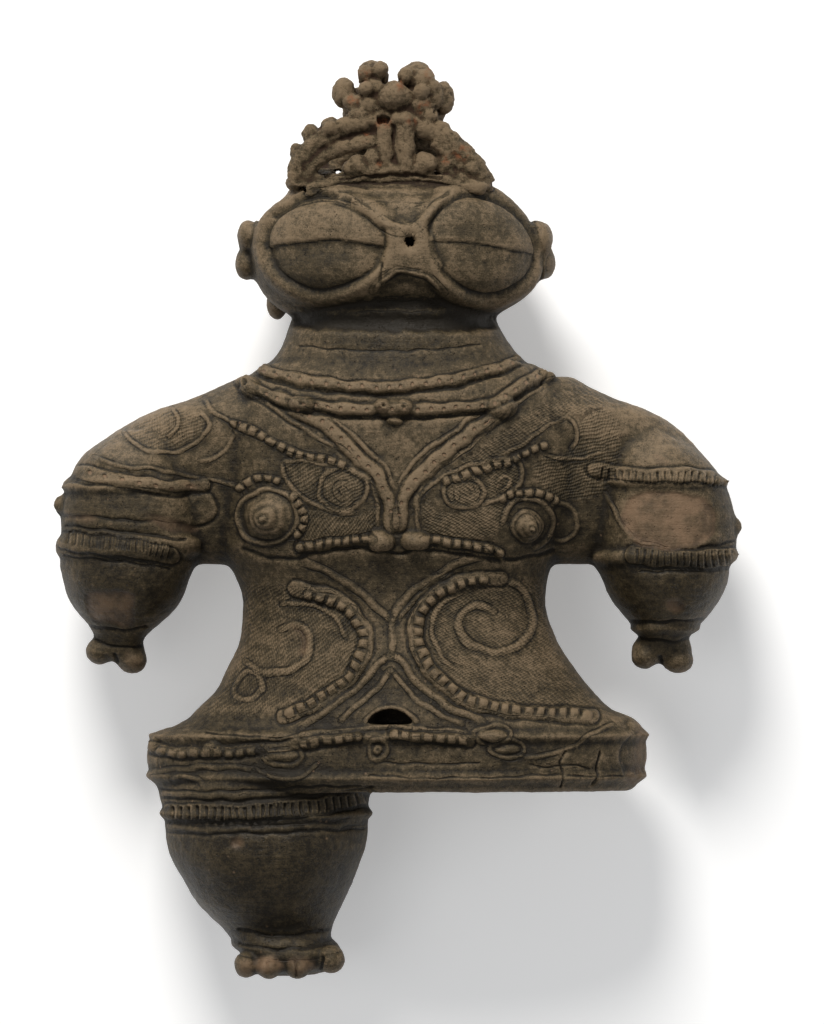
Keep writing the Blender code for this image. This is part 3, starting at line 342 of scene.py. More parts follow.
# Laid on and standing proud: (kind, half width, rise, points, closed)
RAISED = [
    # head: brows and the edge over the mouth
    ("roll", 6.5, 4.3, [(326, 196), (346, 200), (364, 210), (380, 221), (392, 228), (404, 231)], False),
    ("roll", 6.5, 4.3, [(456, 193), (441, 203), (431, 213), (423, 223), (414, 230)], False),
    ("roll", 4.0, 3.6, [(374, 290), (384, 278), (396, 272), (412, 272), (428, 277), (444, 292)], False),
    # neck cord
    ("strap", 5.8, 2.9, [(258, 367), (272, 373), (284, 376), (300, 380), (319, 382), (340, 386), (357, 387),
        (390, 387), (425, 384), (461, 378), (489, 371), (505, 366), (516, 361)], False),
    # yoke cord
    ("strap", 6.2, 3.1, [(236, 375), (244, 383), (256, 390), (272, 397), (303, 404), (331, 407), (357, 409),
        (391, 409), (425, 409), (449, 408), (468, 407), (495, 403), (513, 391), (529, 381), (543, 374),
        (552, 371)], False),
    # straps down to the middle
    ("strap", 7.6, 1.9, [(276, 397), (289, 402), (296, 410), (310, 418), (325, 424), (336, 435), (346, 446),
        (357, 456), (369, 466), (378, 477), (385, 493), (390, 507), (391, 526)], False),
    ("strap", 7.6, 1.9, [(506, 408), (486, 423), (470, 434), (456, 443), (444, 454), (432, 464), (423, 473),
        (414, 481), (407, 493), (402, 504), (399, 526)], False),
    ("roll", 3.0, 0.9, [(316, 409), (330, 418), (348, 431), (366, 448), (383, 466), (395, 488)], False),
    ("roll", 3.0, 0.9, [(482, 411), (470, 419), (451, 434), (433, 446), (414, 462), (399, 488)], False),
    ("roll", 2.6, 0.9, [(541, 387), (520, 401), (508, 414), (496, 424), (480, 438), (456, 456), (437, 469),
        (425, 481), (418, 495), (416, 514), (420, 530)], False),
    ("roll", 2.6, 0.8, [(262, 398), (272, 406), (296, 423), (319, 438), (343, 451), (360, 468), (373, 488),
        (378, 509), (378, 526)], False),
    # band under the chest
    ("strap", 4.6, 1.5, [(300, 548), (331, 544), (357, 542), (372, 540)], False),
    ("strap", 4.6, 1.5, [(424, 540), (451, 543), (475, 546), (492, 550)], False),
    # clouds and ovals of the chest
    ("roll", 3.2, 1.1, [(319, 490), (322, 478), (332, 470), (346, 468), (359, 474), (366, 485), (365, 497),
        (356, 507), (343, 511), (330, 507), (321, 499)], True),
    ("roll", 3.0, 1.0, [(443, 493), (447, 484), (458, 479), (470, 479), (480, 485), (484, 494), (478, 503),
        (465, 508), (452, 505), (445, 499)], True),
    ("roll", 3.4, 1.1, [(352, 491), (347, 484), (338, 486), (336, 494), (342, 500)], False),
    ("roll", 3.0, 1.0, [(470, 494), (465, 489), (457, 492), (458, 498)], False),
    ("roll", 2.8, 1.0, [(282, 462), (284, 474), (289, 483), (297, 493), (308, 500), (322, 507), (340, 513),
        (356, 512)], False),
    ("roll", 2.8, 1.0, [(284, 460), (304, 461), (319, 464), (335, 465), (348, 467), (362, 474), (373, 486),
        (377, 500)], False),
    ("roll", 2.8, 1.1, [(418, 514), (418, 503), (423, 493), (437, 481), (448, 475), (461, 470), (473, 465),
        (490, 461), (508, 458), (519, 462), (523, 471), (520, 484), (512, 493), (503, 496), (496, 501),
        (484, 504)], False),
    ("roll", 2.4, 0.9, [(497, 482), (505, 476), (511, 480), (507, 489), (498, 492)], False),
    ("roll", 2.6, 0.8, [(548, 455), (560, 458), (572, 459), (587, 457), (604, 452)], False),
    ("roll", 2.4, 0.7, [(500, 455), (515, 448), (532, 437), (550, 425), (566, 416)], False),
    ("roll", 2.6, 0.8, [(566, 416), (575, 424), (577, 438), (570, 450)], False),
    # breasts: rings round the cones
    ("roll", 3.4, 1.5, [(238, 512), (243, 501), (254, 493), (268, 490), (283, 493), (293, 501), (297, 513),
        (294, 527), (285, 538), (271, 544), (256, 542), (244, 535), (238, 524)], True),
    ("roll", 3.0, 1.6, [(512, 526), (515, 517), (523, 512), (533, 513), (540, 520), (541, 530), (534, 538),
        (523, 540), (515, 535)], True),
    ("roll", 3.0, 1.2, [(502, 524), (506, 510), (515, 501), (529, 498), (543, 503), (552, 514), (553, 528),
        (546, 541), (532, 548)], False),
    ("roll", 2.8, 0.9, [(549, 505), (560, 503), (571, 509), (577, 520), (574, 533), (563, 541), (552, 539)],
        False),
    # shoulder of the right arm
    ("roll", 3.0, 1.0, [(125, 433), (133, 443), (150, 450), (170, 452), (187, 448), (200, 440), (208, 428),
        (207, 418), (199, 411)], False),
    ("roll", 2.6, 0.9, [(173, 408), (178, 417), (178, 428), (168, 436)], False),
    ("roll", 2.6, 0.9, [(95, 457), (110, 463), (130, 467), (150, 468), (175, 474), (200, 478), (226, 483),
        (240, 487)], False),
    ("roll", 2.6, 0.8, [(200, 461), (215, 457), (225, 448), (233, 436)], False),
    ("roll", 3.0, 1.0, [(204, 400), (212, 410), (226, 420), (243, 429), (262, 438), (284, 447), (303, 453),
        (324, 460)], False),
    # bands of the right arm
    ("strap", 7.5, 1.6, [(72, 472), (83, 473), (96, 476), (113, 479), (130, 482), (149, 485), (170, 488),
        (190, 487), (203, 486)], False),
    ("sheet", 16, 0.9, [(66, 499), (95, 501), (128, 503), (160, 506), (188, 509), (201, 508)], False),
    ("sheet", 9, 0.8, [(64, 541), (100, 545), (140, 550), (172, 556)], False),
    # bands of the left arm
    ("strap", 7.5, 1.6, [(594, 470), (620, 473), (650, 475), (680, 475), (704, 476), (724, 480)], False),
    ("sheet", 9, 0.9, [(634, 555), (660, 558), (700, 559), (734, 557)], False),
    ("roll", 2.8, 0.8, [(604, 492), (612, 506), (618, 520), (627, 533), (640, 543), (662, 549)], False),
    # belly
    ("strap", 7.8, 1.3, [(294, 589), (311, 592), (327, 596), (340, 602), (352, 611), (361, 623), (366, 637),
        (365, 650), (359, 664), (351, 677), (339, 688), (323, 699), (306, 708), (284, 717)], False),
    ("roll", 2.8, 0.8, [(281, 605), (300, 603), (315, 606), (330, 613), (341, 624), (346, 637)], False),
    ("roll", 4.4, 1.1, [(281, 629), (292, 625), (303, 628), (309, 639), (308, 656), (298, 666), (279, 672),
        (261, 671), (247, 662)], False),
    ("roll", 3.4, 0.9, [(234, 690), (240, 677), (250, 672), (261, 677), (262, 690), (252, 698), (240, 698)],
        True),
    ("roll", 4.8, 1.0, [(303, 562), (314, 567), (330, 573), (350, 585), (368, 599), (381, 611), (391, 623)],
        False),
    ("roll", 4.8, 1.0, [(392, 628), (394, 614), (401, 603), (419, 588), (439, 575), (460, 563), (484, 554)],
        False),
    ("roll", 3.2, 0.9, [(398, 622), (404, 611), (418, 598), (434, 584), (452, 575)], False),
    ("roll", 4.6, 1.2, [(391, 622), (393, 640), (390, 655)], False),
    ("strap", 7.8, 1.4, [(500, 578), (484, 579), (469, 581), (454, 585), (442, 590), (432, 598), (423, 608),
        (417, 619), (415, 633), (418, 648), (425, 663), (436, 676), (449, 689), (466, 699), (485, 706),
        (506, 710), (532, 712), (560, 714), (592, 716)], False),
    ("roll", 3.0, 0.9, [(482, 587), (460, 592), (446, 600), (436, 611), (431, 626), (434, 642), (441, 656),
        (452, 668)], False),
    ("roll", 4.6, 1.2, [(493, 611), (483, 606), (472, 606), (462, 614), (459, 627), (465, 639), (478, 648),
        (496, 653), (513, 649), (527, 638), (533, 622), (530, 604), (520, 588), (503, 579)], False),
    ("roll", 4.6, 1.5, [(388, 655), (378, 665), (366, 680), (348, 695), (327, 709), (302, 727)], False),
    ("roll", 4.6, 1.5, [(390, 655), (401, 660), (414, 679), (432, 695), (455, 710), (480, 719)], False),
    ("roll", 3.4, 1.0, [(390, 671), (378, 688), (360, 704), (342, 720)], False),
    ("roll", 3.4, 1.0, [(390, 671), (404, 686), (419, 702), (439, 714), (463, 724)], False),
    ("roll", 3.0, 1.0, [(364, 721), (372, 713), (382, 708), (392, 706), (402, 709), (411, 716), (417, 723)],
        False),
    # hips
    ("strap", 5.6, 1.3, [(152, 747), (175, 752), (195, 753), (220, 752), (246, 750), (275, 748), (304, 744),
        (335, 740), (358, 736)], False),
    ("strap", 5.6, 1.3, [(393, 735), (419, 737), (445, 739), (470, 741)], False),
    ("roll", 3.4, 1.1, [(370, 750), (372, 743), (379, 740), (386, 744), (387, 752), (381, 758), (373, 757)],
        True),
    ("roll", 3.4, 1.0, [(296, 735), (330, 732), (360, 729), (396, 727), (430, 730), (466, 733)], False),
    ("roll", 3.0, 1.0, [(262, 754), (272, 746), (286, 744), (298, 749), (302, 758), (290, 765), (274, 765)],
        True),
    ("roll", 3.0, 0.9, [(172, 779), (185, 776), (198, 779), (203, 788)], False),
    ("roll", 2.6, 0.9, [(256, 766), (262, 773), (276, 777), (295, 779), (309, 773), (318, 764)], False),
    ("roll", 2.8, 1.0, [(474, 735), (484, 727), (500, 725), (511, 731), (508, 741), (494, 745), (480, 743)],
        True),
    ("roll", 2.8, 1.0, [(490, 748), (498, 742), (513, 741), (524, 747), (521, 755), (507, 758), (494, 755)],
        True),
    ("roll", 2.8, 0.9, [(521, 757), (548, 755), (572, 747), (590, 735), (612, 725)], False),
    ("roll", 3.4, 0.9, [(150, 772), (180, 769), (230, 767), (262, 771)], False),
    # leg
    ("sheet", 8, 1.1, [(168, 811), (195, 812), (230, 812), (270, 810), (310, 806), (345, 801), (366, 796)],
        False),
    ("roll", 3.6, 0.8, [(164, 826), (200, 829), (240, 830), (282, 828), (322, 826), (350, 822), (368, 819)],
        False),
    ("roll", 6, 1.2, [(236, 936), (258, 941), (290, 942), (318, 938), (332, 931)], False),
    ("roll", 5, 1.0, [(240, 950), (262, 955), (292, 956), (322, 952), (344, 946)], False),
]

# Rows of square nodules and notches on them: (half width, pitch, rise, gap, points)
NODULES = [
    (3.6, 10.5, 1.9, 0.45, [(234, 424), (250, 430), (268, 440), (286, 450), (306, 456), (330, 460),
        (346, 466)]),
    (3.6, 10.5, 1.9, 0.45, [(447, 482), (470, 474), (490, 466), (510, 461), (528, 452), (545, 445)]),
    (4.2, 11.5, 2.3, 0.45, [(309, 595), (325, 599), (337, 604), (349, 613), (358, 624), (363, 637),
        (362, 650), (356, 664), (348, 677), (336, 687), (320, 697), (304, 706), (289, 713)]),
    (4.2, 11.5, 2.4, 0.45, [(484, 580), (470, 582), (456, 586), (444, 591), (434, 599), (426, 608),
        (420, 619), (418, 633), (421, 648), (428, 663), (438, 676), (451, 688), (467, 698), (485, 705),
        (506, 709), (532, 711), (560, 713), (588, 715)]),
    (3.8, 9.5, 2.7, 0.40, [(300, 547), (318, 544), (338, 542), (357, 540), (370, 538)]),
    (3.8, 10.5, 2.7, 0.40, [(426, 539), (442, 541), (455, 543), (470, 545), (487, 549), (500, 554)]),
    (3.6, 8.5, 1.9, 0.40, [(294, 497), (300, 505), (304, 515), (303, 526), (298, 536)]),
    (3.4, 9.5, 1.8, 0.40, [(502, 499), (511, 495), (522, 493), (534, 492), (545, 495), (555, 500)]),
    (3.4, 11.5, 2.0, 0.45, [(160, 751), (182, 754), (206, 754), (232, 753), (258, 751)]),
    (3.4, 11.5, 2.0, 0.45, [(304, 745), (322, 742), (342, 739), (360, 736)]),
    (3.4, 11.5, 2.0, 0.45, [(394, 735), (412, 736), (432, 738), (452, 740), (468, 741)]),
    (3.2, 10.0, 1.5, 0.45, [(240, 488), (248, 482), (258, 479), (270, 478), (282, 482)]),
]
NOTCHES = [
    (7.5, 6.8, 1.5, [(66, 537), (100, 541), (140, 546), (170, 552)]),
    (7.5, 6.8, 1.6, [(634, 555), (660, 558), (700, 559), (732, 557)]),
    (6.5, 7.0, 1.9, [(598, 474), (620, 476), (650, 478), (680, 478), (704, 479), (720, 482)]),
    (7.2, 8.0, 2.0, [(170, 812), (195, 813), (230, 813), (270, 811), (310, 807), (345, 802), (364, 797)]),
]

# Round pits pressed into the straps: (pitch, offset, points)
PITS = [
    (12.6, 0, [(264, 371), (284, 377), (300, 380), (319, 383), (340, 386), (357, 387), (390, 387),
        (425, 384), (461, 378), (489, 371), (517, 361)]),
    (12.8, 4, [(262, 393), (272, 397), (303, 404), (331, 407), (357, 409), (391, 409), (425, 409),
        (449, 408), (468, 407), (495, 403), (513, 391), (529, 381), (546, 372)]),
    (13.0, 0, [(289, 401), (296, 409), (310, 417), (325, 424), (336, 435), (346, 446), (357, 456),
        (369, 466), (378, 477), (385, 493), (390, 507), (391, 519)]),
    (13.0, 0, [(486, 423), (470, 434), (456, 443), (444, 454), (432, 464), (423, 473), (414, 481),
        (407, 493), (401, 504), (398, 517)]),
    (17.0, 6, [(83, 472), (96, 475), (113, 478), (130, 481), (149, 485), (170, 488), (192, 487)]),
]
PIT_RADIUS = 2.1
PIT_DEPTH = 0.55
PIT_PITCH = 12.9

# How far from a line, a row of beads or a row of pits its marks are written on the skin
LINE_REACH = 6.0
BEAD_REACH = 3.0
PIT_REACH = 9.0
FAR_FROM_PITS = 20.0
EVERYWHERE = 1e9
LINE_STEP = 3.0
SHORTEST = 1e-6

# Bosses laid on the front: (x, y, half width, half height, rise)
BOSSES = [
    (263, 368, 8, 7, 2.8), (519, 359, 8, 7, 2.6), (251, 388, 11, 10, 4.4), (238, 377, 6, 7, 1.8),
    (547, 373, 11, 10, 4.4), (303, 405, 14, 10, 4.8), (501, 407, 18, 12, 5.0), (393, 409, 22, 10, 3.6),
    (395, 421, 9, 5, 2.8), (383, 407, 10, 9, 5.4), (404, 408, 10, 9, 5.2), (381, 541, 14, 11, 5.2),
    (416, 541, 15, 11, 5.2), (152, 745, 7, 7, 2.4), (195, 753, 8, 7, 2.2), (212, 750, 9, 9, 2.4),
    (280, 755, 17, 8, 1.6), (378, 750, 5, 5, 2.0), (492, 735, 14, 7, 1.5), (507, 750, 12, 5, 1.5),
    (640, 722, 12, 10, 1.6), (343, 490, 24, 22, 0.7), (464, 493, 21, 15, 0.7),
]
BOSS_PITS = [
    (251, 388, 3.2, 2.2), (264, 368, 2.2, 1.0), (384, 407, 3.2, 2.4), (404, 408, 2.8, 1.8),
    (548, 373, 3.0, 1.8), (378, 750, 2.4, 1.1), (295, 192, 3.0, 1.4), (383, 120, 6.0, 4.0),
    (436, 112, 4.0, 2.0), (499, 406, 3.0, 1.6), (303, 405, 2.8, 1.6),
]

# Breasts: (x, y, foot radius, rise)
BREASTS = [(269, 517, 25, 7.5), (527, 526, 17, 6.5)]

# Lines cut or pressed in: (half width, depth, points)
GROOVES = [
    (2.4, 1.0, [(258, 376), (284, 385), (319, 391), (357, 395), (390, 395), (425, 392), (461, 386),
        (500, 374)]),
    (2.4, 1.1, [(240, 386), (262, 399), (303, 413), (357, 418), (391, 419), (449, 417), (476, 414),
        (513, 401), (546, 380)]),
    (3.2, 1.7, [(276, 217), (290, 207), (308, 200), (330, 197), (350, 203)]),
    (2.0, 0.9, [(340, 180), (388, 175), (442, 178)]),
    (2.2, 0.8, [(310, 189), (350, 184), (398, 182), (440, 184), (463, 188)]),
    (1.6, 0.5, [(358, 311), (392, 312), (431, 311)]),
    (2.6, 0.9, [(381, 264), (380, 273), (382, 283)]),
    (1.4, 0.4, [(384, 297), (410, 295), (434, 299)]),
    (1.4, 0.4, [(380, 302), (410, 301), (438, 304)]),
    (1.8, 0.6, [(356, 202), (396, 203), (424, 202)]),
    (1.4, 0.4, [(366, 209), (398, 210), (420, 208)]),
    (2.6, 1.0, [(300, 555), (330, 551), (358, 549), (380, 551), (398, 553), (420, 551), (446, 552),
        (476, 556), (500, 562)]),
    (3.0, 0.8, [(244, 548), (262, 556), (284, 559), (306, 556)]),
    (3.0, 0.8, [(506, 560), (528, 557), (552, 551)]),
    (2.2, 0.9, [(66, 525), (90, 529), (120, 531), (160, 536), (186, 540)]),
    (1.6, 0.5, [(65, 556), (100, 559), (140, 564), (170, 569)]),
    (2.2, 1.0, [(86, 626), (104, 629), (126, 630), (146, 627)]),
    (1.8, 0.7, [(96, 640), (112, 646), (128, 648), (142, 646)]),
    (2.4, 1.0, [(636, 543), (650, 547), (680, 549), (708, 547), (734, 542)]),
    (1.6, 0.5, [(642, 571), (680, 572), (728, 569)]),
    (2.2, 1.0, [(630, 620), (650, 622), (680, 622), (704, 619)]),
    (2.0, 0.9, [(636, 636), (656, 641), (676, 642), (694, 637)]),
    (2.4, 1.2, [(158, 797), (190, 800), (230, 801), (280, 798), (330, 794), (372, 789)]),
    (2.0, 0.7, [(146, 789), (190, 791), (240, 791), (300, 788), (360, 786)]),
    (1.8, 0.6, [(165, 833), (230, 834), (300, 832), (350, 829), (367, 827)]),
    (1.6, 0.6, [(166, 822), (230, 822), (300, 818), (366, 808)]),
    (2.2, 0.9, [(240, 929), (264, 934), (296, 935), (328, 929)]),
    (2.0, 0.8, [(240, 944), (264, 948), (296, 949), (330, 945)]),
    (2.0, 1.2, [(266, 962), (268, 972)]),
    (2.0, 1.2, [(296, 962), (296, 974)]),
    (2.0, 1.2, [(322, 958), (321, 970)]),
    (1.8, 0.6, [(370, 775), (430, 778), (500, 777), (560, 774), (600, 777), (640, 774)]),
    (1.6, 1.0, [(565, 752), (560, 762), (563, 774), (561, 786)]),
    (1.6, 1.1, [(601, 752), (597, 766), (599, 776), (592, 786)]),
    (1.4, 0.6, [(530, 764), (548, 767), (566, 765), (590, 768)]),
    (1.6, 0.5, [(380, 762), (430, 764), (480, 762)]),
    (2.4, 1.4, [(115, 655), (116, 662), (115, 668)]),
    (2.4, 1.4, [(660, 657), (661, 664), (660, 670)]),
    (1.5, 0.5, [(206, 732), (240, 736), (280, 737), (300, 733)]),
    (1.5, 0.5, [(240, 392), (262, 404), (282, 418), (300, 430)]),
    (1.5, 0.5, [(300, 345), (350, 350), (420, 350), (480, 344)]),
]

# Shallow scars where the skin has flaked: (points of the outline, depth)
SCARS = [
    ([(88, 593), (110, 591), (133, 594), (135, 610), (131, 626), (110, 623), (92, 620)], 0.5),
    ([(622, 512), (632, 498), (655, 492), (685, 493), (708, 502), (717, 520), (712, 538), (690, 547),
        (655, 549), (632, 540), (623, 526)], 0.7),
    ([(150, 514), (168, 518), (186, 524), (197, 528), (186, 534), (160, 528)], 0.5),
    ([(632, 734), (645, 730), (649, 752), (644, 775), (632, 783), (622, 770), (620, 748)], 0.7),
    ([(668, 600), (677, 600), (684, 606), (676, 612), (668, 607)], 0.7),
    ([(232, 840), (240, 840), (241, 846), (233, 846)], 0.6),
    ([(118, 538), (127, 538), (128, 548), (118, 548)], 0.8),
    ([(96, 534), (103, 534), (104, 546), (96, 545)], 0.8),
]

# Fields marked with a twisted cord: (outline, slant of the rows in degrees)
CORD_FIELDS = [
    ([(262, 584), (300, 590), (332, 602), (352, 622), (359, 644), (352, 668), (334, 688), (306, 704),
        (270, 712), (236, 718), (208, 706), (226, 682), (240, 652), (247, 616), (246, 590)], 38),
    ([(444, 600), (470, 587), (505, 582), (538, 584), (546, 612), (553, 642), (568, 672), (592, 702),
        (566, 708), (520, 706), (484, 698), (458, 682), (438, 660), (428, 638), (428, 616)], -38),
    ([(321, 490), (330, 472), (346, 468), (362, 478), (366, 492), (354, 508), (338, 510)], 30),
    ([(444, 493), (452, 482), (466, 478), (481, 486), (484, 496), (468, 507), (450, 503)], -30),
    ([(284, 462), (320, 466), (326, 486), (320, 504), (300, 494), (288, 480)], 30),
    ([(486, 465), (506, 460), (520, 466), (518, 484), (500, 494), (488, 500), (484, 480)], -30),
    ([(462, 462), (484, 446), (506, 430), (536, 408), (566, 390), (592, 388), (606, 402), (582, 414),
        (570, 414), (552, 424), (530, 440), (512, 452), (496, 458), (476, 464)], -34),
    ([(580, 424), (600, 408), (616, 420), (620, 450), (612, 478), (592, 498), (566, 500), (546, 492),
        (534, 474), (540, 458), (566, 452), (578, 440)], 14),
    ([(426, 500), (440, 512), (470, 512), (500, 502), (504, 520), (488, 538), (440, 536), (424, 528)], -30),
    ([(302, 512), (330, 514), (356, 516), (374, 508), (377, 530), (344, 536), (306, 540)], 52),
    ([(128, 432), (150, 418), (172, 410), (196, 412), (206, 424), (196, 438), (172, 448), (146, 446)], 22),
]
ROW_PITCH = 3.4
STRAND_PITCH = 2.7

# How softly the edges of cord fields, scars and bare patches end
FIELD_FADE = 3.0
SCAR_FADE = 1.6
BARE_FADE = 2.5


def ease(low, high, values):
    """0 below low, 1 above high and a soft step between."""
    t = np.clip((values - low) / (high - low), 0.0, 1.0)
    return t * t * (3 - 2 * t)


def between(positions, values, wanted):
    """Values on a smooth curve through the given ones that never swings past them."""
    spans = np.diff(positions)
    slopes = np.diff(values) / spans
    tangents = np.zeros(len(values))
    tangents[0] = slopes[0]
    tangents[-1] = slopes[-1]
    for i in range(1, len(values) - 1):
        before, after = slopes[i - 1], slopes[i]
        if before * after > 0:
            tangents[i] = 2 * before * after / (before + after)
    index = np.clip(np.searchsorted(positions, wanted) - 1, 0, len(spans) - 1)
    span = spans[index]
    t = (wanted - positions[index]) / span
    return (
        values[index] * (1 + 2 * t) * (1 - t) ** 2
        + tangents[index] * span * t * (1 - t) ** 2
        + values[index + 1] * t * t * (3 - 2 * t)
        + tangents[index + 1] * span * t * t * (t - 1)
    )


def smooth_path(points, step, closed=False):
    """Points a short step apart on a curve through the given ones, as an array."""
    points = np.array(points, float)
    count = len(points)
    spans = count if closed else count - 1
    path = []
    for i in range(spans):
        p1, p2 = points[i], points[(i + 1) % count]
        p0 = points[(i - 1) % count] if closed or i else 2 * p1 - p2
        p3 = points[(i + 2) % count] if closed or i + 2 < count else 2 * p2 - p1
        for t in np.arange(0, 1, 1 / max(2, int(np.linalg.norm(p2 - p1) / step))):
            path.append(
                0.5 * (2 * p1 + (p2 - p0) * t + (2 * p0 - 5 * p1 + 4 * p2 - p3) * t * t
                       + (3 * p1 - p0 - 3 * p2 + p3) * t ** 3)
            )
    path.append(points[0] if closed else points[-1])
    return np.array(path)


def fine_rows(region, rows, low=None, high=None):
    """An outline's rows in metres, one every ROW_STEP: (y, left, right, back, front)."""
    table = np.array(rows, float)
    low = table[0, 0] if low is None else low
    high = table[-1, 0] if high is None else high
    count = max(3, int((high - low) / 100 * region.height / ROW_STEP) + 2)
    ups = np.linspace(low, high, count)
    left, right, back, front = (between(table[:, 0], table[:, k], ups) for k in range(1, 5))
    return list(zip(
        region.y + ups / 100 * region.height,
        region.x + left / 100 * region.half_width,
        region.x + right / 100 * region.half_width,
        MIDDLE + back / 100 * region.half_depth,
        MIDDLE + front / 100 * region.half_depth,
    ))


def deselect():
    if bpy.context.mode != "OBJECT":
        bpy.ops.object.mode_set(mode="OBJECT")
    bpy.ops.object.select_all(action="DESELECT")


def loft(name, rows, swells=None):
    """A closed skin drawn up through an outline's rows, one extrusion a row."""
    deselect()
    swells = swells or [0.0] * len(rows)
    bpy.ops.mesh.primitive_circle_add(
        vertices=SIDES, radius=1.0, fill_type="NGON", location=(0, 0, 0), rotation=(math.pi / 2, 0, 0)
    )
    made = bpy.context.object
    made.name = name
    bpy.ops.object.transform_apply(location=False, rotation=True, scale=False)
    y, left, right, back, front = rows[0]
    half_width, half_depth = (right - left) / 2, (front - back) / 2
    for vert in made.data.vertices:
        x, z = vert.co.x, vert.co.z
        vert.co.x = (left + right) / 2 + half_width * math.copysign(abs(x) ** (2 / SECTION_POWER), x)
        vert.co.z = (back + front) / 2 + half_depth * math.copysign(abs(z) ** (2 / SECTION_POWER), z)
        vert.co.y = y
    bpy.ops.object.mode_set(mode="EDIT")
    bpy.ops.mesh.select_all(action="SELECT")
    middle = ((left + right) / 2, y, (back + front) / 2)
    for (y, left, right, back, front), swell in zip(rows[1:], swells[1:]):
        wide, deep = (right - left) / 2 + swell, (front - back) / 2 + swell
        after = ((left + right) / 2, y, (back + front) / 2)
        move = tuple(b - a for a, b in zip(middle, after))
        bpy.ops.mesh.extrude_region_move(TRANSFORM_OT_translate={"value": move})
        bpy.ops.transform.resize(value=(wide / half_width, 1.0, deep / half_depth), center_override=after)
        middle, half_width, half_depth = after, wide, deep
    bpy.ops.mesh.select_all(action="SELECT")
    bpy.ops.mesh.normals_make_consistent(inside=False)
    bpy.ops.object.mode_set(mode="OBJECT")
    return made


def band(name, region, rows, low, high):
    """A rounded band of clay round a limb."""
    fine = fine_rows(region, rows, low, high)
    last = len(fine) - 1
    return loft(name, fine, [BAND_RISE * math.sin(math.pi * k / last) ** 0.5 for k in range(last + 1)])


def ball(name, centre, half_sizes):
    deselect()
    bpy.ops.mesh.primitive_uv_sphere_add(
        segments=20, ring_count=12, radius=1.0, location=centre, scale=half_sizes
    )
    made = bpy.context.object
    made.name = name
    bpy.ops.object.transform_apply(location=True, rotation=True, scale=True)
    return made


def tube(name, path, radius, closed=False):
    """A round cord of clay along a path."""
    deselect()
    curve = bpy.data.curves.new(name, "CURVE")
    curve.dimensions = "3D"
    curve.bevel_depth = radius
    curve.bevel_resolution = 3
    curve.use_fill_caps = True
    spline = curve.splines.new("POLY")
    spline.points.add(len(path) - 1)
    for point, place in zip(spline.points, path):
        point.co = (*place, 1.0)
    spline.use_cyclic_u = closed
    made = bpy.data.objects.new(name, curve)
    bpy.context.scene.collection.objects.link(made)
    made.select_set(True)
    bpy.context.view_layer.objects.active = made
    bpy.ops.object.convert(target="MESH")
    return bpy.context.object


def joined(name, things):
    deselect()
    for thing in things:
        thing.select_set(True)
    bpy.context.view_layer.objects.active = things[0]
    if len(things) > 1:
        bpy.ops.object.join()
    made = bpy.context.object
    made.name = name
    return made


def with_modifier(thing, kind, **settings):
    """Adds one modifier and applies it."""
    deselect()
    thing.select_set(True)
    bpy.context.view_layer.objects.active = thing
    bpy.ops.object.modifier_add(type=kind)
    modifier = thing.modifiers[-1]
    for key, value in settings.items():
        setattr(modifier, key, value)
    bpy.ops.object.modifier_apply(modifier=modifier.name)


def fuse(thing, voxel, smoothing):
    """One skin round all that the object holds, its creases softened."""
    with_modifier(thing, "REMESH", mode="VOXEL", voxel_size=voxel)
    with_modifier(thing, "SMOOTH", factor=0.5, iterations=smoothing)


def surface_of(thing):
    mesh = bmesh.new()
    mesh.from_mesh(thing.data)
    tree = BVHTree.FromBMesh(mesh)
    mesh.free()
    return tree


def on_front(tree, x, y):
    """The front surface over a place, or the nearest surface beside the outline."""
    hit = tree.ray_cast(Vector((x, y, BODY_DEPTH * 2)), Vector((0, 0, -1)))[0]
    return hit if hit is not None else tree.find_nearest(Vector((x, y, MIDDLE * 1.3)))[0]


def on_back(tree, x, y):
    hit = tree.ray_cast(Vector((x, y, -BODY_DEPTH)), Vector((0, 0, 1)))[0]
    return hit if hit is not None else tree.find_nearest(Vector((x, y, MIDDLE * 0.7)))[0]


def standing(px, py, z=MIDDLE):
    """A drawing point at a height, as (x, y) in the frame that the forms are drawn up in."""
    spread = CAMERA_DISTANCE / (CAMERA_DISTANCE - (z + LAID_DOWN[2] - AIM[2]))
    x = AIM[0] + ((px - DRAWING_MIDDLE[0]) * DRAWING_STEP - AIM[0]) / spread
    y = AIM[1] + ((DRAWING_MIDDLE[1] - py) * DRAWING_STEP - AIM[1]) / spread
    return x - LAID_DOWN[0], y - LAID_DOWN[1]


def numbers_of(thing):
    """(places, normals) of a mesh's vertices."""
    count = len(thing.data.vertices)
    places, normals = np.empty(count * 3), np.empty(count * 3)
    thing.data.vertices.foreach_get("co", places)
    thing.data.vertex_normals.foreach_get("vector", normals)
    return places.reshape(-1, 3), normals.reshape(-1, 3)


def put_places(thing, places):
    thing.data.vertices.foreach_set("co", places.ravel())
    thing.data.update()


def neighbour_mean(thing, values, rounds):
    """Values averaged over each vertex's neighbours, again and again."""
    ends = np.empty(len(thing.data.edges) * 2, np.int64)
    thing.data.edges.foreach_get("vertices", ends)
    a, b = ends.reshape(-1, 2).T
    count = len(thing.data.vertices)
    degree = np.maximum(np.bincount(a, minlength=count) + np.bincount(b, minlength=count), 1)
    values = values.reshape(count, -1).astype(float)
    for _ in range(rounds):
        columns = [
            np.bincount(a, column[b], count) + np.bincount(b, column[a], count) for column in values.T
        ]
        values = 0.5 * values + 0.5 * np.stack(columns, axis=1) / degree[:, None]
    return values


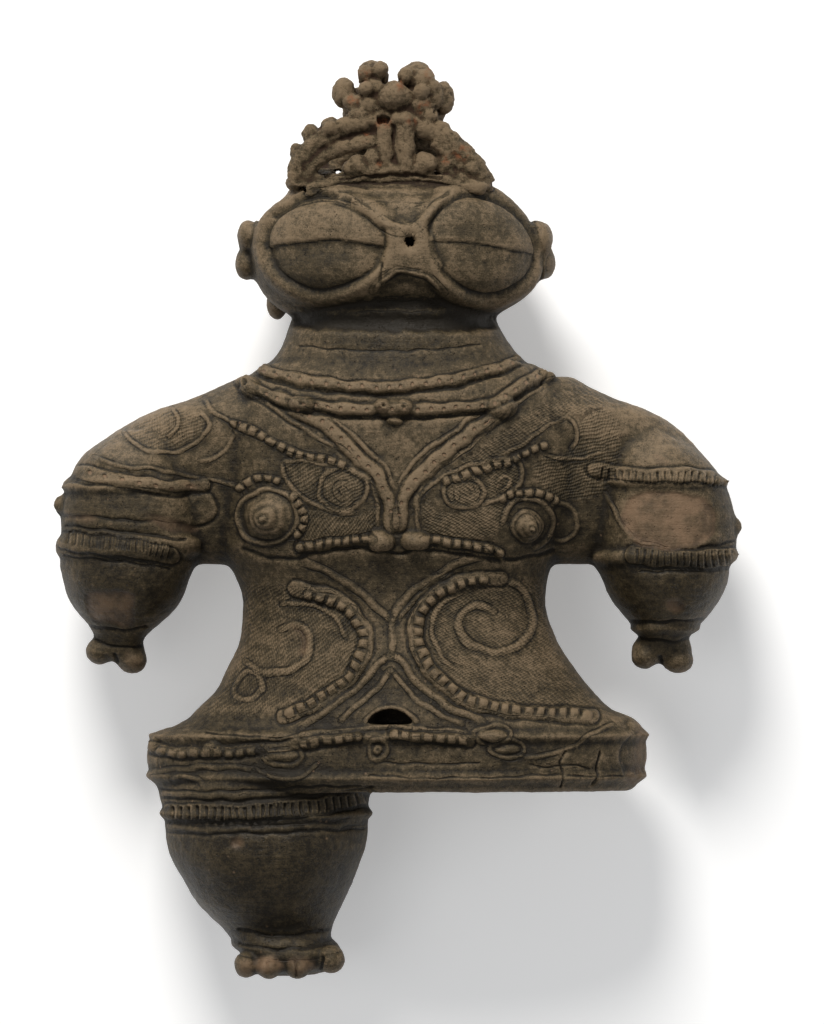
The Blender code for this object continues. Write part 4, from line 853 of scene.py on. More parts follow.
class Drawing:
    """The front of the figure as a flat drawing, with the points that each line of it reaches."""

    def __init__(self, places, normals):
        rise = places[:, 2] - AIM[2]
        spread = CAMERA_DISTANCE / (CAMERA_DISTANCE - rise)
        x = (AIM[0] + (places[:, 0] - AIM[0]) * spread) / DRAWING_STEP + DRAWING_MIDDLE[0]
        y = DRAWING_MIDDLE[1] - (AIM[1] + (places[:, 1] - AIM[1]) * spread) / DRAWING_STEP
        aside = np.sin(x / 9.1 + 1.7 * np.sin(y / 12.3)) + 0.7 * np.sin(y / 4.7 + x / 7.9)
        upward = np.sin(y / 8.3 + 1.9 * np.sin(x / 11.7)) + 0.7 * np.sin(x / 4.3 - y / 6.7)
        self.ruled = np.stack([x, y], axis=1)
        self.points = np.stack([x + WAVER * aside, y + WAVER * upward], axis=1)
        self.facing = ease(*FACING_SLOPE, normals[:, 2]) * ease(*FACING_HEIGHT, places[:, 2])
        self.ahead = self.facing > 0

    def near(self, low, high):
        inside = ((self.points > low) & (self.points < high)).all(axis=1)
        return np.flatnonzero(inside & self.ahead)

    def around(self, x, y, half_width, half_height):
        """(vertices, distance from the middle in half sizes) of an oval."""
        near = self.near(
            np.array([x - half_width, y - half_height]), np.array([x + half_width, y + half_height])
        )
        return near, np.hypot(*((self.points[near] - (x, y)) / (half_width, half_height)).T)

    def along(self, points, reach, closed=False):
        """(vertices, distance from the line, way run along it, side that a vertex lies on)."""
        path = smooth_path(points, LINE_STEP, closed)
        near = self.near(path.min(axis=0) - reach, path.max(axis=0) + reach)
        spots = self.points[near]
        best = np.full(len(near), np.inf)
        run = np.zeros(len(near))
        side = np.ones(len(near))
        travelled = 0.0
        for start, end in zip(path[:-1], path[1:]):
            step = end - start
            length = math.hypot(*step)
            if length < SHORTEST:
                continue
            way = spots - start
            t = np.clip(way @ step / length ** 2, 0, 1)
            away = way - t[:, None] * step
            distance = np.hypot(away[:, 0], away[:, 1])
            closer = distance < best
            best[closer] = distance[closer]
            run[closer] = travelled + t[closer] * length
            side[closer] = np.sign(step[0] * away[closer, 1] - step[1] * away[closer, 0])
            travelled += length
        kept = best < reach
        return near[kept], best[kept], run[kept], side[kept]

    def inside(self, points, spots):
        """Whether spots lie inside a closed outline."""
        outline = smooth_path(points, LINE_STEP, True)
        result = np.zeros(len(spots), bool)
        for (x1, y1), (x2, y2) in zip(outline[:-1], outline[1:]):
            if y1 == y2:
                continue
            crosses = (y1 > spots[:, 1]) != (y2 > spots[:, 1])
            result ^= crosses & (spots[:, 0] < (x2 - x1) * (spots[:, 1] - y1) / (y2 - y1) + x1)
        return result

    def field(self, points, fade):
        """(vertices, share) for the inside of an outline, with a soft edge of the given width."""
        near, distance, _, _ = self.along(points, EVERYWHERE, True)
        inside = self.inside(points, self.points[near])
        share = ease(-fade, fade, np.where(inside, distance, -distance))
        kept = share > 0
        return near[kept], share[kept]


def roll(distance, half):
    t = np.clip(distance / half, 0, 1)
    return (1 - t * t) ** 1.4


def strap(distance, half):
    """Flat on top, with rounded shoulders."""
    t = np.clip(distance / half, 0, 1)
    return (1 - t ** 4) ** 1.2


def sheet(distance, half):
    return 1 - ease(0.80, 1.0, distance / half)


PROFILES = {"roll": roll, "strap": strap, "sheet": sheet}


def keep_larger(values, chosen, others):
    """Lifts each chosen value to the one given for it, where that is more."""
    values[chosen] = np.maximum(values[chosen], others)


def lens_relief(drawing, raised, sunk, outline, lid, lower_lid, overhang):
    """A goggle eye: a broad rim, a sharp groove, and two flat lids that meet in a slit."""
    near, distance, _, _ = drawing.along(outline, EYE_REACH, True)
    inside = drawing.inside(outline, drawing.points[near])
    away = distance[~inside]
    climb = ease(-2.0, RIM_PEAK, away)
    fall = 1 - ease(RIM_PEAK, RIM_ROLL, away)
    keep_larger(raised, near[~inside], RIM_RISE * np.where(away < RIM_PEAK, climb, fall))
    inner = near[inside]
    steepness = (1 - np.clip(distance[inside] / LENS_REACH, 0, 1)) ** 2.2
    keep_larger(raised, inner, LENS_DOME * (1 - steepness))
    half, depth = LENS_GROOVE
    groove, reach, _, _ = drawing.along(outline, half, True)
    keep_larger(sunk, groove, depth * roll(reach, half))
    lens = np.zeros(len(raised), bool)
    lens[inner] = True
    half, depth = LID_SLIT
    slit, reach, _, side = drawing.along(lid, LID_REACH)
    below = (side > 0) & lens[slit]
    hollow = overhang * (1 - ease(half, LID_REACH - half, reach)) * below
    keep_larger(sunk, slit, np.maximum(hollow, depth * roll(reach, half) * lens[slit]))
    if lower_lid:
        half, depth = LOWER_SLIT
        slit, reach, _, _ = drawing.along(lower_lid, half)
        keep_larger(sunk, slit, depth * roll(reach, half))


def lay_on(drawing, raised, sunk):
    """Plates, cords, bosses, breasts and nodules, with the line pressed in beside a strap."""
    for points, rise, fade in PLATES:
        near, share = drawing.field(points, fade)
        keep_larger(raised, near, rise * share)
    for kind, half, rise, points, closed in RAISED:
        near, distance, run, _ = drawing.along(points, half + FOOT_REACH, closed)
        share = PROFILES[kind](distance, half)
        if kind == "roll" and not closed:
            taper = half * END_TAPER
            share *= ease(-2.0, taper, run) * ease(-2.0, taper, run.max() - run)
        keep_larger(raised, near, rise * LINE_SHARE * share)
        if kind != "roll":
            keep_larger(sunk, near, FOOT_DEPTH * roll(np.abs(distance - half - 1.0), FOOT_HALF))
    for x, y, half_width, half_height, rise in BOSSES:
        near, away = drawing.around(x, y, half_width, half_height)
        keep_larger(raised, near, rise * (1 - np.clip(away, 0, 1) ** 2) ** 0.7)
    for x, y, radius, rise in BREASTS:
        near, away = drawing.around(x, y, radius, radius)
        away = np.clip(away, 0, 1)
        keep_larger(raised, near, rise * (1 - away) ** 1.15 * (1 + 0.10 * np.cos(away * 21)))
    for half, pitch, rise, gap, points in NODULES:
        half *= NODULE_WIDER
        near, distance, run, _ = drawing.along(points, half)
        swing = np.abs(np.cos(np.pi * run / pitch))
        share = roll(distance, half) ** 0.6 * ease(gap * 0.5, gap * 1.5, swing)
        keep_larger(raised, near, rise * NODULE_SHARE * share)


def cut_in(drawing, sunk):
    """Hollows, notches, grooves, scars and pits."""
    for points, depth, fade in DIPS:
        near, share = drawing.field(points, fade)
        keep_larger(sunk, near, depth * share)
    for half, pitch, depth, points in NOTCHES:
        near, distance, run, _ = drawing.along(points, half)
        swing = np.abs(np.cos(np.pi * run / pitch))
        share = (1 - ease(0.25, 0.75, swing)) * (1 - ease(0.75, 1.0, distance / half))
        keep_larger(sunk, near, depth * NOTCH_SHARE * share)
    for half, depth, points in GROOVES:
        near, distance, _, _ = drawing.along(points, half)
        keep_larger(sunk, near, depth * roll(distance, half))
    for x, y, radius, depth in BOSS_PITS:
        near, away = drawing.around(x, y, radius, radius)
        keep_larger(sunk, near, depth * roll(away, 1.0))
    for points, depth in SCARS:
        near, share = drawing.field(points, SCAR_FADE)
        keep_larger(sunk, near, depth * share)
    for pitch, offset, points in PITS:
        near, distance, run, _ = drawing.along(points, PIT_RADIUS)
        beside = (run - offset + pitch / 2) % pitch - pitch / 2
        keep_larger(sunk, near, PIT_DEPTH * roll(np.hypot(distance, beside), PIT_RADIUS))


def relief_of(drawing):
    """How far each vertex rises, in millimetres, for all that was laid on or cut in."""
    count = len(drawing.facing)
    raised, sunk = np.zeros(count), np.zeros(count)
    wavering, drawing.points = drawing.points, drawing.ruled
    lens_relief(drawing, raised, sunk, RIGHT_LENS, RIGHT_LID, RIGHT_LOWER_LID, RIGHT_OVERHANG)
    lens_relief(drawing, raised, sunk, LEFT_LENS, LEFT_LID, None, LEFT_OVERHANG)
    drawing.points = wavering
    lay_on(drawing, raised, sunk)
    cut_in(drawing, sunk)
    return raised - sunk


# Broad tones of the fired skin, most of them painted light and shade: lighter on upper slopes, darker on
# lower slopes and in the painted shadow under the head: (x, y, half width, half height, tone), the tone
# from -1 dark to 1 light
PAINTED_LIGHT_AND_TONES = [
    (398, 235, 150, 60, 0.40), (318, 226, 60, 26, -0.15), (482, 222, 56, 26, -0.60),
    (395, 338, 105, 24, -0.46), (320, 272, 52, 24, -0.90), (485, 276, 50, 24, -0.30),
    (398, 306, 100, 14, -0.35), (395, 320, 115, 12, -1.00), (170, 428, 90, 36, 0.36),
    (630, 420, 90, 40, 0.30), (398, 440, 110, 50, 0.34), (398, 500, 200, 50, 0.24),
    (300, 655, 80, 70, 0.14), (480, 650, 100, 75, 0.26), (392, 566, 80, 24, -0.20),
    (392, 630, 24, 60, 0.20), (120, 590, 70, 54, -0.85), (668, 594, 70, 54, -0.80),
    (120, 655, 34, 22, -0.40), (664, 655, 34, 22, -0.40), (265, 870, 110, 90, -0.90),
    (290, 955, 60, 30, -0.20), (262, 775, 120, 36, -0.40), (500, 765, 160, 34, -0.20),
    (110, 520, 70, 30, -0.66), (392, 108, 80, 70, 0.48), (720, 520, 30, 40, -0.30),
    (250, 540, 70, 30, -0.20), (545, 545, 60, 26, -0.24),
]
GLOSSY = [
    (120, 590, 60, 44, 1.0), (668, 594, 62, 42, 1.0), (265, 880, 96, 70, 1.0), (110, 430, 60, 40, 0.6),
    (690, 440, 60, 40, 0.4), (398, 340, 100, 24, 0.35),
]
# Where the skin is lost and the paler body shows: (outline, how pale)
BARE_PATCHES = [
    ([(88, 594), (110, 592), (132, 594), (134, 610), (130, 625), (110, 622), (93, 619)], 0.70),
    ([(621, 512), (631, 498), (655, 492), (685, 493), (708, 502), (716, 520), (711, 538), (690, 547),
        (655, 549), (632, 540), (623, 526)], 1.0),
    ([(146, 514), (168, 518), (187, 524), (199, 528), (186, 533), (158, 527)], 0.55),
    ([(64, 512), (90, 516), (96, 522), (74, 522)], 0.40),
    ([(256, 960), (274, 958), (284, 966), (276, 972), (258, 972)], 0.95),
    ([(290, 960), (308, 958), (316, 966), (306, 972), (292, 972)], 0.85),
    ([(238, 962), (250, 960), (254, 970), (242, 976)], 0.60),
    ([(232, 839), (241, 839), (242, 846), (233, 847)], 0.80),
    ([(667, 600), (678, 599), (685, 606), (676, 613), (667, 608)], 0.60),
    ([(640, 722), (648, 730), (650, 752), (644, 776), (634, 784), (626, 776), (634, 750)], 0.45),
    ([(124, 654), (138, 656), (142, 664), (130, 668)], 0.40),
    ([(291, 624), (303, 628), (308, 640), (306, 654), (300, 652), (301, 638)], 0.55),
    ([(186, 484), (197, 485), (196, 490), (186, 489)], 0.85),
    ([(654, 453), (666, 458), (668, 464), (658, 462)], 0.50),
]
# Where the reddish inner clay shows: (x, y, radius)
RUSTY = [
    (383, 122, 9), (364, 74, 8), (353, 99, 6), (424, 106, 7), (412, 121, 6), (432, 74, 7), (366, 137, 6),
    (462, 152, 10), (446, 160, 7), (400, 84, 6), (378, 164, 5),
]


def zone(points, spots):
    """The sum of soft round spots over the drawing."""
    total = np.zeros(len(points))
    for x, y, half_width, half_height, share in spots:
        away = np.hypot((points[:, 0] - x) / half_width, (points[:, 1] - y) / half_height)
        total += share * (1 - ease(0.45, 1.35, away))
    return total


def line_marks(drawing, count):
    """(signed distance to the nearest drawn line or foot of a cord, plain distance), in points."""
    signed, away = np.full(count, LINE_REACH), np.full(count, LINE_REACH)
    lines = [(points, closed, half) for _, half, _, points, closed in RAISED]
    lines += [(points, False, 0.0) for _, _, points in GROOVES]
    lines += [(points, False, half * 1.35) for half, _, _, _, points in NODULES]
    lines += [(RIGHT_LID, False, 0.0), (LEFT_LID, False, 0.0)]
    for points, closed, half in lines:
        near, distance, _, side = drawing.along(points, half + LINE_REACH, closed)
        value = distance - half if half else distance * side
        closer = np.abs(value) < away[near]
        chosen = near[closer]
        signed[chosen] = value[closer]
        away[chosen] = np.abs(value[closer])
    return signed, away


def bead_marks(drawing, count):
    """(run counted in beads, distance from the row's middle in half widths) along nodules and notches."""
    bead_run, bead_side = np.zeros(count), np.full(count, BEAD_REACH)
    rows = [(points, half * 1.15, pitch, 0.0) for half, pitch, _, _, points in NODULES]
    rows += [(points, half, pitch, 0.5) for half, pitch, _, points in NOTCHES]
    for points, half, pitch, offset in rows:
        near, distance, run, _ = drawing.along(points, half * 1.8)
        closer = distance / half < bead_side[near]
        chosen = near[closer]
        bead_run[chosen] = run[closer] / pitch + offset
        bead_side[chosen] = distance[closer] / half
    return bead_run, bead_side


def put_attribute(thing, name, values):
    attribute = thing.data.attributes.new(name, "FLOAT", "POINT")
    attribute.data.foreach_set("value", np.ascontiguousarray(values, np.float32))


def mark_surface(thing):
    """Writes on the mesh what its clay reads: hollows, ridges, tones with painted light and shade, patches
    and cord marks.
    """
    places, normals = numbers_of(thing)
    drawing = Drawing(places, normals)
    count = len(places)
    # How far the skin dips or swells; the shader darkens the dips as painted shade
    for name, rounds, size in (("hollow", 6, 0.00022), ("deep_hollow", 60, 0.0016)):
        rise = ((neighbour_mean(thing, places, rounds) - places) * normals).sum(axis=1)
        put_attribute(thing, name, np.clip(rise / size, -1, 1))
    # The tone attribute carries painted light and shade as well as tones of the clay
    put_attribute(thing, "tone", zone(drawing.points, PAINTED_LIGHT_AND_TONES))
    put_attribute(thing, "gloss", np.clip(zone(drawing.points, GLOSSY), 0, 1))
    bare = np.zeros(count)
    for points, share in BARE_PATCHES:
        near, inside = drawing.field(points, BARE_FADE)
        bare[near] = np.maximum(bare[near], inside * share)
    put_attribute(thing, "bare", bare)
    rust = np.zeros(count)
    for x, y, radius in RUSTY:
        away = np.hypot(drawing.points[:, 0] - x, drawing.points[:, 1] - y)
        rust = np.maximum(rust, 1 - ease(0.4, 1.2, away / radius))
    put_attribute(thing, "rust", rust * (places[:, 2] > RUST_HEIGHT))
    marked, row, strand = np.zeros(count), np.zeros(count), np.zeros(count)
    for points, slant in CORD_FIELDS:
        near, share = drawing.field(points, FIELD_FADE)
        turn = math.radians(slant)
        along = drawing.points[near] @ (math.cos(turn), -math.sin(turn))
        across = drawing.points[near] @ (math.sin(turn), math.cos(turn))
        better = share > marked[near]
        chosen = near[better]
        marked[chosen] = share[better]
        row[chosen] = across[better] / ROW_PITCH
        strand[chosen] = (along[better] + 0.5 * across[better]) / STRAND_PITCH
    put_attribute(thing, "marked", marked * drawing.facing)
    put_attribute(thing, "row", row)
    put_attribute(thing, "strand", strand)
    put_attribute(thing, "crown", ease(*CROWN_EDGE, places[:, 1]))
    for name, values in zip(("line", "line_away"), line_marks(drawing, count)):
        put_attribute(thing, name, values)
    for name, values in zip(("bead_run", "bead_side"), bead_marks(drawing, count)):
        put_attribute(thing, name, values)
    pit_run, pit_side = np.zeros(count), np.full(count, FAR_FROM_PITS)
    for pitch, offset, points in PITS:
        near, distance, run, side = drawing.along(points, PIT_REACH)
        closer = distance < np.abs(pit_side[near])
        chosen = near[closer]
        pit_run[chosen] = (run[closer] - offset) / pitch
        pit_side[chosen] = distance[closer] * side[closer]
    put_attribute(thing, "pit_run", pit_run)
    put_attribute(thing, "pit_side", pit_side)


class FigurineSizes(bpy.types.PropertyGroup):
    relief: FloatProperty(
        name="Relief", description="Height of the cords, bosses and lines, as a share of the modelled one",
        default=1.0, min=0.0, max=2.0, subtype="FACTOR",
    )
    undulation: FloatProperty(
        name="Undulation", description="How far the hand-shaped skin swells and dips",
        default=0.0006, min=0.0, max=0.003, unit="LENGTH",
    )
    crown_roughness: FloatProperty(
        name="Crown roughness", description="How far the crumbly crown swells and dips",
        default=0.0016, min=0.0, max=0.004, unit="LENGTH",
    )
    fineness: FloatProperty(
        name="Fineness", description="Width of the smallest block that the skin is fused from",
        default=0.00058, min=0.0004, max=0.002, unit="LENGTH",
    )
    triangles: IntProperty(
        name="Triangles", description="Most triangles of the finished figurine",
        default=MOST_TRIANGLES, min=20000, max=199000,
    )
    cord_marks: FloatProperty(
        name="Cord marks", description="Depth of the twisted-cord marks",
        default=0.00034, min=0.0, max=0.001, unit="LENGTH",
    )


class FigurineColours(bpy.types.PropertyGroup):
    # Also the colour of the painted shade under the head, on lower slopes and in hollows
    dark: FloatVectorProperty(
        name="Smoked clay and painted shade", description="Colour of the darkest fired skin",
        subtype="COLOR", default=(0.0120, 0.0083, 0.0034), min=0.0, max=1.0,
    )
    middle: FloatVectorProperty(
        name="Fired clay", description="Main colour of the fired skin",
        subtype="COLOR", default=(0.058, 0.0418, 0.0200), min=0.0, max=1.0,
    )
    # Also the colour of the painted light on upper slopes
    light: FloatVectorProperty(
        name="Worn clay and painted light", description="Colour of rubbed ridges and painted light",
        subtype="COLOR", default=(0.180, 0.126, 0.072), min=0.0, max=1.0,
    )
    bare: FloatVectorProperty(
        name="Bare clay", description="Colour where the skin is lost",
        subtype="COLOR", default=(0.190, 0.120, 0.069), min=0.0, max=1.0,
    )
    rust: FloatVectorProperty(
        name="Rusty clay", description="Colour of the reddish clay in the crown",
        subtype="COLOR", default=(0.210, 0.072, 0.027), min=0.0, max=1.0,
    )


class Clay:
    """Builds the nodes of one material."""

    def __init__(self, name):
        self.material = bpy.data.materials.new(name)
        self.material.use_nodes = True
        self.tree = self.material.node_tree
        self.shader = self.tree.nodes["Principled BSDF"]
        self.place = self.tree.nodes.new("ShaderNodeTexCoord").outputs["Object"]

    def feed(self, socket, value):
        if isinstance(value, bpy.types.NodeSocket):
            self.tree.links.new(value, socket)
        else:
            socket.default_value = value

    def mark(self, name):
        node = self.tree.nodes.new("ShaderNodeAttribute")
        node.attribute_name = name
        return node.outputs["Fac"]

    def calc(self, operation, a, b=0.0):
        node = self.tree.nodes.new("ShaderNodeMath")
        node.operation = operation
        self.feed(node.inputs[0], a)
        self.feed(node.inputs[1], b)
        return node.outputs[0]

    def times(self, a, b):
        return self.calc("MULTIPLY", a, b)

    def plus(self, a, b):
        return self.calc("ADD", a, b)

    def centred(self, value):
        return self.calc("SUBTRACT", value, 0.5)

    def total(self, first, parts):
        """The first value with each part added by its share."""
        for value, share in parts:
            first = self.plus(first, self.times(value, share))
        return first

    def both_ways(self, name):
        """(how far a mark lies above 0, how far below)."""
        mark = self.mark(name)
        return self.calc("MAXIMUM", mark, 0.0), self.calc("MAXIMUM", self.times(mark, -1.0), 0.0)

    def step(self, value, low, high):
        """0 below low, 1 above high and a soft step between."""
        node = self.tree.nodes.new("ShaderNodeMapRange")
        node.interpolation_type = "SMOOTHSTEP"
        self.feed(node.inputs["Value"], value)
        node.inputs["From Min"].default_value = low
        node.inputs["From Max"].default_value = high
        return node.outputs["Result"]

    def noise(self, scale, detail=4.0, roughness=0.55, place=None):
        node = self.tree.nodes.new("ShaderNodeTexNoise")
        self.feed(node.inputs["Vector"], place or self.place)
        node.inputs["Scale"].default_value = scale
        node.inputs["Detail"].default_value = detail
        node.inputs["Roughness"].default_value = roughness
        return node.outputs["Fac"]

    def cells(self, scale):
        node = self.tree.nodes.new("ShaderNodeTexVoronoi")
        self.feed(node.inputs["Vector"], self.place)
        node.inputs["Scale"].default_value = scale
        return node.outputs["Distance"]

    def stretched(self, scale, turn):
        node = self.tree.nodes.new("ShaderNodeMapping")
        self.feed(node.inputs["Vector"], self.place)
        node.inputs["Rotation"].default_value = (0, 0, turn)
        node.inputs["Scale"].default_value = scale
        return node.outputs["Vector"]

    def mixed(self, share, a, b):
        node = self.tree.nodes.new("ShaderNodeMix")
        node.data_type = "RGBA"
        self.feed(node.inputs[0], share)
        self.feed(node.inputs[6], a)
        self.feed(node.inputs[7], b)
        return node.outputs[2]

    def ramp(self, value, stops):
        node = self.tree.nodes.new("ShaderNodeValToRGB")
        while len(node.color_ramp.elements) < len(stops):
            node.color_ramp.elements.new(1.0)
        for element, (position, colour) in zip(node.color_ramp.elements, stops):
            element.position = position
            element.color = (*colour, 1.0)
        self.feed(node.inputs["Fac"], value)
        return node.outputs["Color"]

    def bump(self, height, distance):
        node = self.tree.nodes.new("ShaderNodeBump")
        node.inputs["Strength"].default_value = 1.0
        node.inputs["Distance"].default_value = distance
        self.feed(node.inputs["Height"], height)
        return node.outputs["Normal"]


def cord_pattern(clay):
    """Rows of slanted grains, as a twisted cord leaves in wet clay, from 0 pressed in to 1 standing."""
    wander = clay.centred(clay.noise(260.0, 2.0))
    row = clay.total(clay.mark("row"), [(wander, 1.3)])
    strand = clay.total(clay.mark("strand"), [(wander, 1.1)])
    rows = clay.calc("COSINE", clay.times(row, math.tau))
    strands = clay.calc("COSINE", clay.times(strand, math.tau))
    grain = clay.total(0.5, [(rows, 0.28), (strands, 0.16)])
    return clay.times(grain, clay.mark("marked"))


def from_middle(clay, run):
    """How far along a row counted in pits or beads a place lies from the nearest one's middle."""
    return clay.centred(clay.calc("FRACT", clay.plus(clay.mark(run), 0.5)))


def pit_pattern(clay):
    """1 in each small round pit along the straps."""
    along = clay.times(from_middle(clay, "pit_run"), PIT_PITCH)
    across = clay.mark("pit_side")
    away = clay.calc("SQRT", clay.plus(clay.times(along, along), clay.times(across, across)))
    return clay.step(away, PIT_RADIUS * 1.15, PIT_RADIUS * 0.45)


def line_pattern(clay):
    """1 on a drawn line or along the foot of a cord, broken here and there; the colour is darkened there as
    painted shade.
    """
    away = clay.calc("ABSOLUTE", clay.mark("line"))
    thin = clay.step(away, 1.20, 0.20)
    near = clay.step(clay.mark("line_away"), 3.4, 2.0)
    broken = clay.total(0.15, [(clay.step(clay.noise(170.0, 4.0), 0.40, 0.60), 0.85)])
    return clay.times(clay.times(thin, near), broken)


def bead_pattern(clay):
    """(1 on each bead of a row, 1 in each gap between them)."""
    beside = clay.times(clay.calc("ABSOLUTE", from_middle(clay, "bead_run")), 2.0)
    inside = clay.step(clay.mark("bead_side"), 1.12, 0.86)
    gap = clay.step(beside, 0.58, 0.82)
    return clay.times(inside, clay.calc("SUBTRACT", 1.0, gap)), clay.times(inside, gap)


class FiredClay(Clay):
    """Dark fired clay: its patterns, then the colour, the gloss and the bumps that read them."""

    def __init__(self, sizes, colours):
        super().__init__("dark_fired_clay")
        self.patchy = self.noise(120.0, 6.0, 0.62)
        self.grain = self.noise(620.0, 6.0, 0.68)
        self.dust = self.noise(1900.0, 3.0, 0.7)
        self.strokes = self.noise(60.0, 4.0, 0.6, self.stretched((1.0, 16.0, 1.0), 0.05))
        sparse = self.step(self.noise(210.0, 3.0), 0.50, 0.62)
        self.pores = self.times(self.step(self.cells(820.0), 0.30, 0.12), sparse)
        self.hollow, self.ridge = self.both_ways("hollow")
        self.crown = self.mark("crown")
        self.cord = cord_pattern(self)
        self.pits = pit_pattern(self)
        self.line = line_pattern(self)
        self.bead, self.gap = bead_pattern(self)
        self.feed(self.shader.inputs["Base Color"], self.skin(colours))
        self.feed(self.shader.inputs["Roughness"], self.gloss())
        self.feed(self.shader.inputs["Normal"], self.bump(self.height(sizes), 0.001))
        self.shader.inputs["Specular IOR Level"].default_value = 0.28

    def tone(self):
        """From dark at 0 to light at 1, with painted light and shade: the broad tones, and darkening in
        hollows, lines and bead gaps.
        """
        broad = self.noise(34.0, 5.0, 0.6)
        deep, swell = self.both_ways("deep_hollow")
        standing_cord = self.total(self.cord, [(self.mark("marked"), -0.45)])
        # Painted shade: darker in hollows and deep hollows (more so in the crown), along lines and the feet
        # of cords, and in the gaps between beads; the tone attribute adds painted light on upper slopes and
        # painted shade on lower ones
        return self.total(0.40, [
            (self.mark("tone"), 0.42), (self.centred(broad), 0.45), (self.centred(self.patchy), 0.75),
            (self.centred(self.grain), 1.05), (self.centred(self.dust), 0.95),
            (self.centred(self.strokes), 0.30), (self.ridge, 0.22), (swell, 0.08), (self.hollow, -0.32),
            (deep, -0.16), (self.times(deep, self.crown), -0.22), (self.pores, -0.30),
            (standing_cord, 0.35), (self.line, -0.34), (self.times(self.bead, self.patchy), 0.16),
            (self.gap, -0.18),
        ])

    def skin(self, colours):
        dark, middle, light = tuple(colours.dark), tuple(colours.middle), tuple(colours.light)
        bare, rust = (*colours.bare, 1.0), (*colours.rust, 1.0)
        # The ramp turns the tone, painted light and shade included, into colour: the darkest colour stands
        # for painted shade as well as smoked clay, the lightest for painted light as well as rubbed ridges
        skin = self.ramp(self.tone(), [(0.0, dark), (0.42, middle), (0.86, light), (1.0, light)])
        lost = self.mark("bare")
        ragged = self.times(lost, self.step(self.patchy, 0.36, 0.60))
        skin = self.mixed(self.total(self.times(lost, 0.35), [(ragged, 0.62)]), skin, bare)
        reddish = self.times(self.mark("rust"), self.step(self.noise(330.0, 4.0, 0.6), 0.44, 0.66))
        stained = self.times(self.crown, self.hollow)
        reddish = self.total(self.times(reddish, 0.8), [(stained, 0.08)])
        skin = self.mixed(self.calc("MINIMUM", reddish, 0.8), skin, rust)
        specks = self.step(self.cells(240.0), 0.16, 0.07)
        specks = self.times(specks, self.step(self.noise(90.0, 3.0), 0.52, 0.66))
        pale = self.total(self.times(specks, 0.6), [(self.pits, 0.85)])
        return self.mixed(self.calc("MINIMUM", pale, 0.9), skin, bare)

    def gloss(self):
        """Roughness: less on the burnished limbs, more on the crown."""
        return self.total(0.66, [
            (self.mark("gloss"), -0.26), (self.centred(self.patchy), 0.22), (self.crown, 0.15),
        ])

    def height(self, sizes):
        """Fine unevenness in millimetres."""
        crumbs = self.times(self.noise(280.0, 5.0, 0.6), self.crown)
        coarse = self.times(self.grain, self.total(1.0, [(self.crown, 1.6)]))
        return self.total(self.times(coarse, 0.42), [
            (self.dust, 0.12), (crumbs, 0.9), (self.strokes, 0.18), (self.line, -0.24),
            (self.bead, 0.12), (self.gap, -0.16), (self.pores, -0.22), (self.pits, -0.45),
            (self.cord, sizes.cord_marks * 1000),
        ])


def settings():
    return bpy.context.scene.figurine_sizes, bpy.context.scene.figurine_colours


class FIGURINE_OT_body(bpy.types.Operator):
    """Trunk, shoulders, neck, head, arms and leg, with hands, toes and ears"""

    bl_idname = "figurine.body"
    bl_label = "Body"

    def execute(self, context):
        forms = [
            ("leg", LEG, LEG_ROWS), ("trunk", TRUNK, TRUNK_ROWS), ("shoulders", YOKE, YOKE_ROWS),
            ("neck", NECK, NECK_ROWS), ("head", HEAD, HEAD_ROWS), ("crown_wall", CROWN, CROWN_ROWS),
            ("right_arm", RIGHT_ARM, RIGHT_ARM_ROWS), ("left_arm", LEFT_ARM, LEFT_ARM_ROWS),
        ]
        made = [loft(name, fine_rows(region, rows)) for name, region, rows in forms]
        for number, (region, across, up, out, *half_sizes) in enumerate(ROUND_ENDS):
            made.append(ball(f"round_end_{number}", region.place(across, up, out), half_sizes))
        for number, (across, up, out) in enumerate(EARS):
            made.append(ball(f"ear_{number}", HEAD.place(across, up, out), EAR_SIZE))
        body = joined("body", made)
        fuse(body, BODY_BLOCK, 3)
        return {"FINISHED"}


class FIGURINE_OT_crown(bpy.types.Operator):
    """Openwork crown: arches, pillar, knobs and small lumps of clay"""

    bl_idname = "figurine.crown"
    bl_label = "Crown"

    def execute(self, context):
        made = []
        for number, arch in enumerate(ARCHES):
            path = smooth_path([CROWN.place(across, up, ARCH_OUT) for across, up in arch], CURVE_STEP)
            made.append(tube(f"arch_{number}", path, ARCH * FRONT_ARCH_SHARE))
            made.append(tube(f"back_arch_{number}", path - (0, 0, ARCH_DEPTH), ARCH * BACK_ARCH_SHARE))
        pillar = smooth_path([CROWN.place(across, up, PILLAR_OUT) for across, up in PILLAR], CURVE_STEP)
        made.append(tube("pillar", pillar, ARCH))
        for number, (across, up, out, size) in enumerate(CROWN_KNOBS):
            knob = CROWN_KNOB * size * KNOB_SHARE
            half_sizes = (knob, knob, knob * KNOB_DEPTH)
            made.append(ball(f"crown_knob_{number}", CROWN.place(across, up, out), half_sizes))
        for number, (px, py, *half_sizes, out) in enumerate(CROWN_LUMPS):
            z = MIDDLE + out / 100 * CROWN.half_depth
            half_sizes = [half * DRAWING_STEP for half in half_sizes]
            made.append(ball(f"lump_{number}", (*standing(px, py, z), z), half_sizes))
        for number, (thickness, out, points) in enumerate(CROWN_ROLLS):
            z = MIDDLE + out / 100 * CROWN.half_depth
            flat = smooth_path([standing(px, py, z) for px, py in points], CURVE_STEP)
            made.append(tube(f"roll_{number}", [(x, y, z) for x, y in flat], thickness * DRAWING_STEP))
        joined("crown", made)
        return {"FINISHED"}


